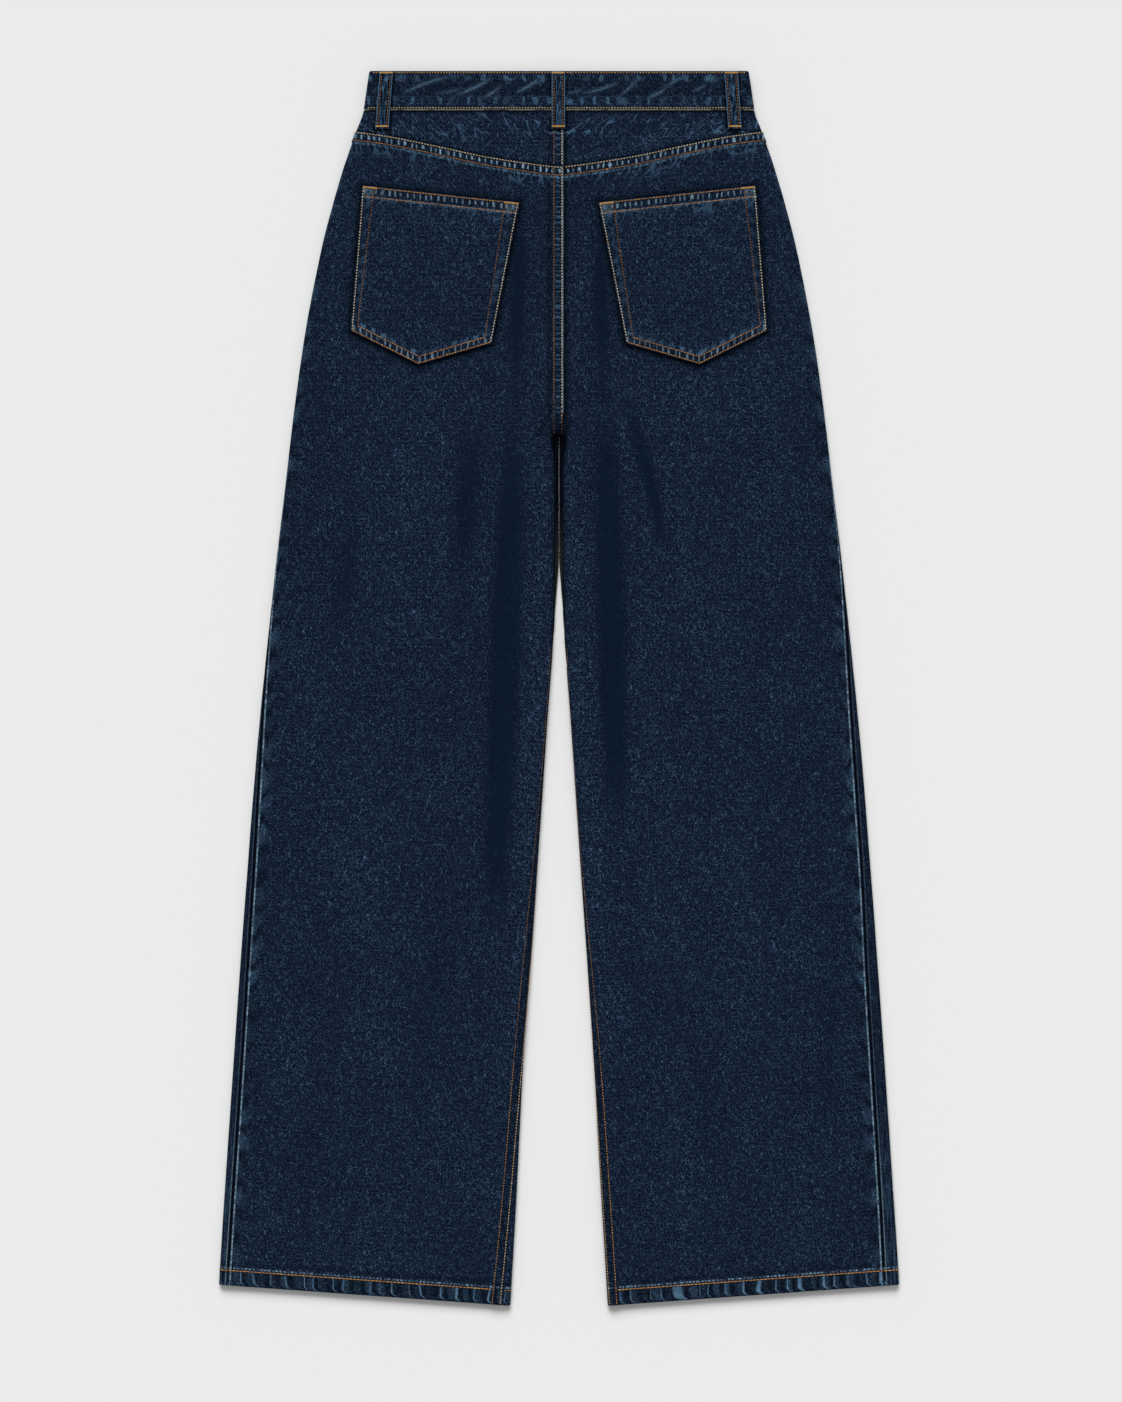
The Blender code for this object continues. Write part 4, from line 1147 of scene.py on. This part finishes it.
for loop in LOOPS:
    for share in (0.028, 0.955):
        bar_tack(loop_face(loop, share, -0.46), loop_face(loop, share, 0.46), UP if loop.on_back else -UP)
for side in (LEFT, RIGHT):
    for corner, toward in ((POCKET_TOP_INNER, POCKET_TOP_OUTER), (POCKET_TOP_OUTER, POCKET_TOP_INNER)):
        way = (toward - corner) / np.hypot(*(toward - corner))
        spots = np.array((corner + way * 1.0, corner + way * 13.2)) + np.array((0, 1.5))
        bar_tack(*on_rim(side, spots), UP)
tacks = sew("bar_tacks")

# %% [markdown]
# ## Denim
#
# Denim is woven from blue warp yarns and white weft yarns. Washing wears the dye off wherever the cloth stands out: on
# short lengths of yarn, which gives the pale flecks, and on the puckers along the seams. All of that is painted here
# from noise and from the `cloth`, `seams` and `wear` attributes, so it follows the panels. Shade and
# light are painted in too: a deeper blue in the troughs of the folds, more flecks on their ridges, and near black in
# grooves, under raised edges and between the legs.


# %% Numbers and colours in a node tree
class Value:
    """What a node works out at each point of a surface. Values are added and multiplied as plain numbers are."""

    def __init__(self, tree, socket):
        self.tree, self.socket = tree, socket

    def calc(self, operation, *others):
        return calc(operation, self, *others)

    def __add__(self, other):
        return calc("ADD", self, other)

    def __sub__(self, other):
        return calc("SUBTRACT", self, other)

    def __rsub__(self, other):
        return calc("SUBTRACT", other, self)

    def __mul__(self, other):
        return calc("MULTIPLY", self, other)

    def __abs__(self):
        return calc("ABSOLUTE", self)

    __radd__, __rmul__ = __add__, __mul__


def plug(tree, socket, value):
    """Sets a socket to a number or a colour, or links a value to it."""
    if isinstance(value, Value):
        tree.links.new(value.socket, socket)
    else:
        socket.default_value = value


def node(tree, kind, inputs, output=0, **settings):
    """One new node with these settings and inputs, each known by its name or its number, and one of its outputs."""
    made = tree.nodes.new(kind)
    for name, value in settings.items():
        setattr(made, name, value)
    for key, value in inputs.items():
        plug(tree, made.inputs[key], value)
    return Value(tree, made.outputs[output])


def tree_of(*values):
    return next(value.tree for value in values if isinstance(value, Value))


def calc(operation, *values):
    return node(tree_of(*values), "ShaderNodeMath", dict(enumerate(values)), operation=operation)


def most(*values):
    """The largest of these."""
    total = values[0]
    for value in values[1:]:
        total = calc("MAXIMUM", total, value)
    return total


def ramp(value, low, high, start=0.0, end=1.0):
    """A smooth step from start, at low, to end, at high."""
    inputs = dict(enumerate((value, low, high, start, end)))
    return node(value.tree, "ShaderNodeMapRange", inputs, interpolation_type="SMOOTHSTEP")


def mix(factor, a, b):
    inputs = {0: factor, 6: a, 7: b}
    return node(tree_of(factor, a, b), "ShaderNodeMix", inputs, output=2, data_type="RGBA")


def noise(x, y, detail):
    """Smooth noise over a plane, about one lump to each unit of x and of y."""
    place = node(x.tree, "ShaderNodeCombineXYZ", {0: x, 1: y})
    inputs = {"Vector": place, "Scale": 1.0, "Detail": detail, "Roughness": 0.5}
    return node(x.tree, "ShaderNodeTexNoise", inputs, noise_dimensions="2D")


def split(vector):
    """The three numbers of a vector."""
    made = vector.tree.nodes.new("ShaderNodeSeparateXYZ")
    plug(vector.tree, made.inputs[0], vector)
    return [Value(vector.tree, socket) for socket in made.outputs]


def attribute(tree, name, output):
    return node(tree, "ShaderNodeAttribute", {}, output, attribute_name=name)


def new_material(name, **inputs):
    """A material, its node tree and its shader, with these of the shader's inputs set. _ stands for a space."""
    material = bpy.data.materials.new(name)
    material.use_nodes = True
    shader = material.node_tree.nodes["Principled BSDF"]
    for word, value in inputs.items():
        shader.inputs[word.replace("_", " ")].default_value = value
    return material, material.node_tree, shader


# %% Marks that wear leaves
def lines(x, y, wide, long, thick, seed=0.0):
    """Thin wandering lines, about this far apart: where a stretched noise is close to its middle value."""
    return ramp(abs(noise(x * (1 / wide) + seed, y * (1 / long), 0.3) - 0.5), 0.0, thick, 1.0, 0.0)


def bars(run, off, pitch, width=0.5, slant=0.0, seed=0.0, jitter=0.5, wobble=0.12, least=0.25):
    """Bars across a seam, one for each stretch of this pitch, uneven in place and strength."""
    wander = noise(run * (0.6 / pitch), off * wobble + seed, 1.0)
    phase = run * (1 / pitch) + off * (slant / pitch) + wander * (2.0 * jitter)
    middle = abs(phase.calc("FRACT") - 0.5) * 2.0
    dice = node(run.tree, "ShaderNodeTexWhiteNoise", {"W": phase.calc("FLOOR") + seed}, "Value", noise_dimensions="1D")
    return ramp(middle, width * 0.3, width, 1.0, 0.0) * ramp(dice, 0.0, 0.8, least, 1.0)


def strip(off, low, high, soft=0.6):
    """1 between two distances from a seam, and 0 elsewhere."""
    return ramp(off, low - soft, low + soft) * ramp(off, high - soft, high + soft, 1.0, 0.0)


# %% [markdown]
# Each kind of edge wears in its own way. A function for each one yields layers and how strong they are: `worn` and
# `bright` are two shades of bleached yarn, `pad` is the cream edge under the waistband, and `dye` is cloth that
# stayed dark together with painted shade in grooves, under raised edges and between the legs. `at` holds what is known
# of a point: x and y along the cloth, and its distances from the seams.


# %% Wear and painted shade along the seams
def felled_seam(at, strength=0.9):
    """A ladder of puckers on the seam, a broken pale line below it, and creases that hang from it."""
    near = at.top + at.ragged
    ladder = bars(at.x, at.top, 5.4, 0.42, wobble=0.03, least=0.45) * strip(near, 2.8, 6.6)
    under = bars(at.x, at.top, 5.0, 1.1, 0.3, 9.0, least=0.4) * strip(at.top + at.ragged * 0.5, 9.2, 11.2, 0.4)
    lacy = bars(at.x, at.top, 7.5, 0.35, 0.3, 29.0, 0.8, 0.05) * ramp(near, 9.5, 15.0, 1.0, 0.0)
    hanging = lines(at.x + at.top * 0.25, at.top, 11.0, 34.0, 0.035, 20.0) * ramp(at.top, 10.0, 26.0, 0.8, 0.0)
    yield "worn", under * 1.1
    yield "worn", lacy * ramp(at.top, 8.8, 9.6) * 0.9
    yield "worn", hanging * ramp(at.top, 8.5, 10.5) * 0.6
    yield "bright", ladder * strength
    yield "dye", strip(at.top, 2.0, 7.6, 0.5) * 0.35


def seat_seam(at):
    """Puckers on the band of the seat seam and its pale edge, and crumpled cloth on the yoke."""
    above_crotch = ramp(at.y, 296.0, 303.0, 1.0, 0.0)
    puckers = bars(at.y, at.inner, 4.6, 0.5, seed=3.0, wobble=0.04) * strip(at.inner + at.ragged, 2.4, 7.0)
    edge = strip(at.inner, -0.4, 0.7, 0.3) * ramp(at.patch, 0.35, 0.55, 0.5, 1.0)
    crumpled = lines(at.x + at.y * 0.9, at.y, 8.0, 18.0, 0.045, 41.0) * strip(at.y, 38.0, 58.0, 5.0)
    yield "worn", puckers * above_crotch * 0.5
    yield "worn", crumpled * ramp(at.patch, 0.42, 0.58) * 0.7
    yield "bright", edge * above_crotch * 0.5
    yield "dye", strip(at.inner, 1.8, 7.6, 0.5) * 0.35


def hem(at):
    """The roping of the hem, which hooks at its foot, and the broken pale line above its stitches."""
    # across is counted outwards on both legs, so the hooks turn the other way on the right one
    way = ramp(((at.x + 40.0) * (1 / (2 * APART))).calc("FRACT"), 0.47, 0.49, 1.0, -1.0)
    low = most(4.6 - at.hem, 0.0)
    hooked = at.x + low * low * 0.26 * way
    roping = bars(hooked, at.hem, 13.5, 0.18, 0.0, 11.0, 0.8, 0.012, 0.4) * strip(at.hem, 0.6, 12.2)
    faint = bars(hooked, at.hem, 10.5, 0.8, 0.0, 31.0, 0.5, 0.01) * strip(at.hem, 1.0, 12.0, 1.0)
    above = bars(at.x, at.hem, 3.4, 0.9, seed=13.0, least=0.2) * strip(at.hem, 14.7, 16.1, 0.3)
    yield "worn", faint * at.grainy * 0.6
    yield "worn", roping * 1.05
    yield "bright", above * ramp(at.patch, 0.36, 0.52, 0.4, 1.0) * 0.75
    yield "bright", roping * strip(at.hem, 2.5, 7.0, 1.5) * 0.2
    yield "dye", strip(at.hem, 1.0, 12.5, 1.0) * 0.6
    # painted shade above the hem's fold
    yield "dye", strip(at.hem, 17.0, 22.0, 2.0) * 0.3


def groove(at):
    """Painted shade in the groove of the side seam."""
    yield "dye", ramp(at.side, 0.45, 1.1, 1.0, 0.0)


def side_of_front(at):
    """A pale rim beside the side seam and threads along it, both stronger towards the hem."""
    lower = ramp(at.hem, 20.0, 200.0, 1.0, 0.25)
    rim = strip(at.side, 1.3, 2.0, 0.35) * ramp(at.fine, 0.2, 0.5, 0.4, 1.0)
    threads = lines(at.side, at.y, 2.2, 40.0, 0.12, 60.0) * strip(at.side, 2.5, 13.0, 2.0)
    yield "bright", rim * lower * 0.55
    yield "worn", threads * lower * 0.3
    # painted shade on the front's strip where it rounds over the side edge
    yield "dye", ramp(at.side, 9.0, 22.0, 1.0, 0.0) * 0.4


def side_of_back(at):
    """Patches of wear along the side seam with dark cloth between them, and a broken pale edge."""
    patches = bars(at.y, at.side, 25.0, 0.9, 0.35, 5.0)
    inwards = at.side + at.ragged * 2.0
    yield "worn", patches * at.grainy * ramp(at.side, 1.2, 2.2) * ramp(inwards, 3.0, 14.0, 0.75, 0.0)
    yield "bright", bars(at.y, at.side, 4.4, 1.4, seed=7.0) * strip(at.side, 1.5, 2.7, 0.3) * 0.9
    yield "dye", (1.0 - patches) * ramp(inwards, 3.0, 16.0, 0.6, 0.0)


# %% Wear on the small pieces
def pocket_mouth(at):
    yield from felled_seam(at, 0.6)


def pocket_rim(at):
    """Puckers between the rows along a pocket's sides and lower edges, and its worn upper corners."""
    rims = bars(at.y, at.inner, 12.0, 0.7, 0.5, 15.0) * strip(at.inner + at.ragged, 3.0, 8.5, 1.5)
    ladder = bars(at.x, at.side, 5.2, 0.34, 0.0, 17.0, 0.5, 0.03, 0.3) * strip(at.side + at.ragged, 2.2, 6.2)
    lobes = bars(at.x, at.side, 9.0, 0.7, seed=19.0) * strip(at.side + at.ragged, 7.6, 10.6, 1.2)
    corner = strip(at.top, 2.6, 8.4, 0.5) * ramp(at.inner, 9.5, 12.0, 1.0, 0.0) * ramp(at.inner, 1.6, 2.6)
    rim = calc("MINIMUM", calc("MINIMUM", at.inner, at.side), at.top)
    yield "worn", rims * at.grainy * 0.6
    yield "worn", lobes * 0.6
    yield "bright", ladder * 0.6
    yield "bright", corner * at.grainy * 0.5
    yield "dye", strip(rim, 2.2, 5.8, 0.5) * 0.3


def on_band(at):
    """Drag lines and two rows of tufts on the waistband, a faint line between, and the cream edge at its foot."""
    low_tufts = bars(at.x, at.top, 12.5, 0.42, 0.1, 21.0, 0.8, 0.03) * strip(at.top + at.ragged, 23.0, 29.5, 0.8)
    high_tufts = bars(at.x, at.top, 15.0, 0.5, -0.2, 25.0, 0.8, 0.03) * strip(at.top + at.ragged, 4.0, 9.0, 1.2)
    line = strip(at.top + at.ragged * 0.3, 22.2, 23.0, 0.4) * ramp(at.patch, 0.4, 0.6, 0.2, 0.8)
    coarse = ramp(at.grainy, 0.0, 0.8, 0.4, 1.0)
    yield "worn", at.rub_and_highlight * coarse * 0.95
    yield "worn", most(low_tufts, high_tufts) * coarse * 0.85
    yield "worn", line * coarse * 0.45
    yield "bright", at.rub_and_highlight * at.rub_and_highlight * coarse * 0.3
    yield "pad", strip(at.top, 33.6, 34.6, 0.2) * ramp(at.patch, 0.3, 0.5, 0.2, 0.85)
    yield "dye", strip(at.top, 8.0, 23.0, 3.0) * 0.35


def on_loop(at):
    """Streaks down the middle of a belt loop, and its pale edges."""
    yield "worn", lines(at.x, at.y, 2.4, 14.0, 0.10, 23.0) * strip(at.inner, 3.0, 9.0) * 0.75
    yield "worn", strip(at.inner, 0.1, 1.0, 0.3) * 0.9
    yield "dye", strip(at.inner, 1.0, 3.2, 0.3) * 0.75
    yield "dye", 0.3


WEAR_AND_SHADE = {
    "panel": (felled_seam, seat_seam, hem, groove, side_of_back),
    "front": (hem, groove, side_of_front),
    "pocket": (pocket_mouth, pocket_rim),
    "band": (on_band,),
    "loop": (on_loop,),
}

# %% The denim's colours
DARK = (0.0014, 0.0044, 0.0122, 1)
BODY_BLUE = (0.0036, 0.0090, 0.0240, 1)
FLECK = (0.057, 0.107, 0.190, 1)
# the painted shade in the troughs of the folds
DEEP = (0.0026, 0.0092, 0.0265, 1)
PALE = (0.075, 0.155, 0.255, 1)
BRIGHT = (0.23, 0.36, 0.47, 1)
CREAM = (0.52, 0.50, 0.42, 1)
# near black, for dark dye and for painted shade
BLACK = (0.0007, 0.0013, 0.0032, 1)
# painted shade: the grey of a shadowed floor, painted on the cloth where the legs part
SLOT_GREY = (0.018, 0.018, 0.018, 1)


# %% The denim
def worn_and_shaded(at, kind, colour):
    """The colour of the cloth with all its layers of wear and painted shade laid over it, and how far the wear raises
    it.
    """
    # the painted shade from the mesh starts the layer of dark dye and painted shade
    layers = {"worn": 0.0, "bright": 0.0, "pad": 0.0, "dye": at.shade}
    for wear in WEAR_AND_SHADE[kind]:
        for layer, strength in wear(at):
            layers[layer] = most(layers[layer], strength)
    broken_up = ramp(at.fine, 0.2, 0.6, 0.5, 1.0)
    # dark dye and painted shade, mixed towards black
    colour = mix(calc("MINIMUM", layers["dye"], 1.0) * 0.92, colour, BLACK)
    # painted shade: grey where some light comes in between the legs
    colour = mix(ramp(layers["dye"], 1.0, 2.0), colour, SLOT_GREY)
    colour = mix(layers["worn"] * broken_up, colour, PALE)
    colour = mix(layers["bright"] * broken_up, colour, BRIGHT)
    colour = mix(layers["pad"] * broken_up, colour, CREAM)
    return colour, layers["worn"] * 1.2 + layers["bright"] * 1.2


def denim(kind):
    """Denim for one kind of piece. The plain kind reads no seams, for the CAD's own pieces."""
    material, tree, shader = new_material(f"denim_{kind}", Roughness=0.92, Specular_IOR_Level=0.03)
    at = SimpleNamespace(trough=0.0, rub_and_highlight=0.0)
    if kind == "plain":
        across, up, _ = split(node(tree, "ShaderNodeTexCoord", {}, "Object"))
        at.x, at.y = across * 1000.0, up * -1000.0
    else:
        at.x, at.y, at.hem = split(attribute(tree, "cloth", "Vector"))
        at.top, at.inner, at.side = split(attribute(tree, "seams", "Vector"))
        # painted shade in the fold troughs, painted highlight and wear on ridges, and painted shade beside edges
        at.trough, at.rub_and_highlight, at.shade = split(attribute(tree, "wear", "Vector"))
    cloud = noise(at.x * 0.020, at.y * 0.012, 2.0)
    at.patch = noise(at.x * 0.11, at.y * 0.07, 2.0)
    at.fine = noise(at.x * 0.9, at.y * 0.6, 1.0)
    broken = noise(at.x * 0.33, at.y * 0.24, 1.0)
    at.ragged = (broken - 0.5) * 3.5
    # short worn lengths of yarn: two layers of thin wandering lines, broken up by a coarser noise
    upright = lines(at.x, at.y, 1.9, 3.6, 0.066) * ramp(broken, 0.38, 0.58)
    crossing = lines(at.x, at.y, 2.9, 2.3, 0.046, 40.0) * ramp(broken, 0.42, 0.62, 0.75, 0.0)
    flecks = most(upright, crossing)
    at.grainy = flecks * 0.7 + ramp(at.fine, 0.25, 0.65) * 0.4
    # fewer flecks in the fold troughs, as painted shade, and more on ridges and rubbed cloth, as painted highlight and
    # wear
    amount = ramp(cloud * 0.6 + at.patch * 0.5, 0.25, 0.85, 0.62, 1.0) * (1.0 - at.trough * 0.70) * (1.0 + at.rub_and_highlight * 0.6)
    colour = mix(ramp(at.fine, 0.25, 0.75), DARK, BODY_BLUE)
    colour = mix(flecks * amount, colour, FLECK)
    # painted shade: a deeper, more saturated blue in the troughs of the folds
    colour = mix(at.trough * 0.55, colour, DEEP)
    height = flecks * 0.5 + at.fine * 0.5
    if kind != "plain":
        colour, raised = worn_and_shaded(at, kind, colour)
        height = height + raised
    plug(tree, shader.inputs["Base Color"], colour)
    bump = node(tree, "ShaderNodeBump", {"Distance": 0.0005, "Strength": 0.8, "Height": height})
    plug(tree, shader.inputs["Normal"], bump)
    return material


DENIMS = {kind: denim(kind) for kind in (*WEAR_AND_SHADE, "plain")}
WORN_BY = {
    "panel": (*back_legs.values(), *yokes.values()),
    "front": front_legs.values(),
    "pocket": pockets.values(),
    "band": [band],
    "loop": loops,
}
for kind, pieces in WORN_BY.items():
    for piece in pieces:
        piece.data.materials.append(DENIMS[kind])
for word in WORDS.values():
    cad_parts[f"front_pocket_facing_{word}"].material_slots[0].material = DENIMS["plain"]
print("denims:", ", ".join(DENIMS))

# %% [markdown]
# ## Thread and metal
#
# Jeans thread is twisted polyester in gold. It is paler on the rows along an edge and darker, nearer rust, on rows that
# sink in.

# %% Thread
TONES = table(
    "position colour",
    (0.0, (0.070, 0.032, 0.014, 1)),
    (0.3, (0.215, 0.092, 0.024, 1)),
    (0.55, (0.46, 0.215, 0.042, 1)),
    (0.75, (0.50, 0.34, 0.14, 1)),
    (1.0, (0.62, 0.57, 0.43, 1)),
)


def thread():
    material, tree, shader = new_material("gold_thread", Roughness=0.6, Specular_IOR_Level=0.25)
    tones = tree.nodes.new("ShaderNodeValToRGB")
    plug(tree, tones.inputs[0], attribute(tree, "tone", "Fac"))
    first, last = tones.color_ramp.elements
    first.color, last.color = TONES[0].colour, TONES[-1].colour
    for row in TONES[1:-1]:
        tones.color_ramp.elements.new(row.position).color = row.colour
    place = node(tree, "ShaderNodeTexCoord", {}, "Object")
    twist = node(tree, "ShaderNodeTexWave", {"Scale": 900.0, "Distortion": 2.0, "Vector": place}, "Fac")
    plug(tree, shader.inputs["Base Color"], mix(twist * 0.25, Value(tree, tones.outputs[0]), (0.05, 0.03, 0.02, 1)))
    return material


gold_thread = thread()
for piece in (leg_thread, pocket_thread, band_thread, tacks):
    piece.data.materials.append(gold_thread)


# %% Brass
def brass():
    material, tree, shader = new_material("button_brass", Metallic=1.0, Roughness=0.38)
    place = node(tree, "ShaderNodeTexCoord", {}, "Object")
    grain = node(tree, "ShaderNodeTexNoise", {"Scale": 400.0, "Vector": place})
    plug(tree, shader.inputs["Base Color"], mix(grain, (0.42, 0.27, 0.12, 1), (0.24, 0.15, 0.07, 1)))
    return material


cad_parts["waist_button"].material_slots[0].material = brass()
print("thread tones:", len(TONES))

# %% [markdown]
# ## The cloth's sizes
#
# A table gives what each panel was cut to before it was sewn, and the mesh's area is printed beside it.


# %% Sheets
def face_area(piece):
    """Half the area of a closed sheet, in square metres."""
    return sum(face.area for face in piece.data.polygons) / 2


CUTS_OF = table(
    "piece width length area rests_on",
    ("left_back_leg", 0.262, 1.024, 0.245, ["left_front_leg"]),
    ("right_back_leg", 0.262, 1.024, 0.243, ["right_front_leg"]),
    ("left_front_leg", 0.324, 1.038, 0.251, ["studio_floor"]),
    ("right_front_leg", 0.318, 1.038, 0.252, ["studio_floor"]),
    ("left_yoke", 0.188, 0.049, 0.0064, ["left_front_leg"]),
    ("right_yoke", 0.180, 0.049, 0.0060, ["right_front_leg"]),
    ("left_back_pocket", 0.148, 0.157, 0.0185, ["left_back_leg"]),
    ("right_back_pocket", 0.148, 0.157, 0.0185, ["right_back_leg"]),
    ("waist_band", 0.640, 0.0344, None, ["left_front_leg", "right_front_leg"]),
    *((f"{loop.name}_strip", 0.012, 0.0535, None, ["waist_band"]) for loop in LOOPS),
)
for cut in CUTS_OF:
    piece = bpy.data.objects[cut.piece]
    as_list(cut.rests_on)
    print(piece.name, "area", round(face_area(piece), 4), "m2, cut", cut.area or round(cut.width * cut.length, 5))

# %% [markdown]
# ## Studio
#
# The jeans lie on a pale floor under soft light from beyond the waist, and the camera looks straight down.

# %% Floor
floor_maker = bmesh.new()
bmesh.ops.create_grid(floor_maker, x_segments=1, y_segments=1, size=6.0)
bmesh.ops.translate(floor_maker, verts=floor_maker.verts, vec=(0, 0, -0.0003))
floor_mesh = bpy.data.meshes.new("studio_floor")
floor_maker.to_mesh(floor_mesh)
floor_maker.free()
studio_floor = bpy.data.objects.new("studio_floor", floor_mesh)
bpy.context.scene.collection.objects.link(studio_floor)
paper = new_material("paper", Base_Color=(0.80, 0.80, 0.80, 1), Roughness=1.0, Specular_IOR_Level=0.0)[0]
floor_mesh.materials.append(paper)
print("floor:", floor_mesh.name)

# %% Light
SUN_STRENGTH, SUN_SPREAD, SUN_WAY = 3.13, 34, (0.12, -1.0, -0.80)
AIR_STRENGTH = 0.42
key = bpy.data.lights.new("key_light", "SUN")
key.energy = SUN_STRENGTH
key.angle = math.radians(SUN_SPREAD)
lamp = bpy.data.objects.new("key_light", key)
lamp.rotation_euler = Vector(SUN_WAY).to_track_quat("-Z", "Y").to_euler()
bpy.context.scene.collection.objects.link(lamp)
world = bpy.data.worlds.new("studio_air")
bpy.context.scene.world = world
world.use_nodes = True
world.node_tree.nodes["Background"].inputs["Color"].default_value = (1, 1, 1, 1)
world.node_tree.nodes["Background"].inputs["Strength"].default_value = AIR_STRENGTH
print("light:", key.energy, "from a sun, and", AIR_STRENGTH, "from all round")

# %% Camera
CAMERA_ABOVE, PICTURE_HEIGHT, SENSOR_HEIGHT = 4.0, 1.2296, 24.0
PICTURE_MIDDLE = (0.00175, -0.01096)
camera = bpy.data.cameras.new("camera")
camera.sensor_fit = "VERTICAL"
camera.sensor_height = SENSOR_HEIGHT
camera.lens = SENSOR_HEIGHT * CAMERA_ABOVE / PICTURE_HEIGHT
camera.clip_end = 20
viewer = bpy.data.objects.new("camera", camera)
viewer.location = (*PICTURE_MIDDLE, CAMERA_ABOVE)
bpy.context.scene.collection.objects.link(viewer)
bpy.context.scene.camera = viewer
bpy.context.scene.view_settings.view_transform = "Standard"
print("lens:", round(camera.lens, 2), "mm")
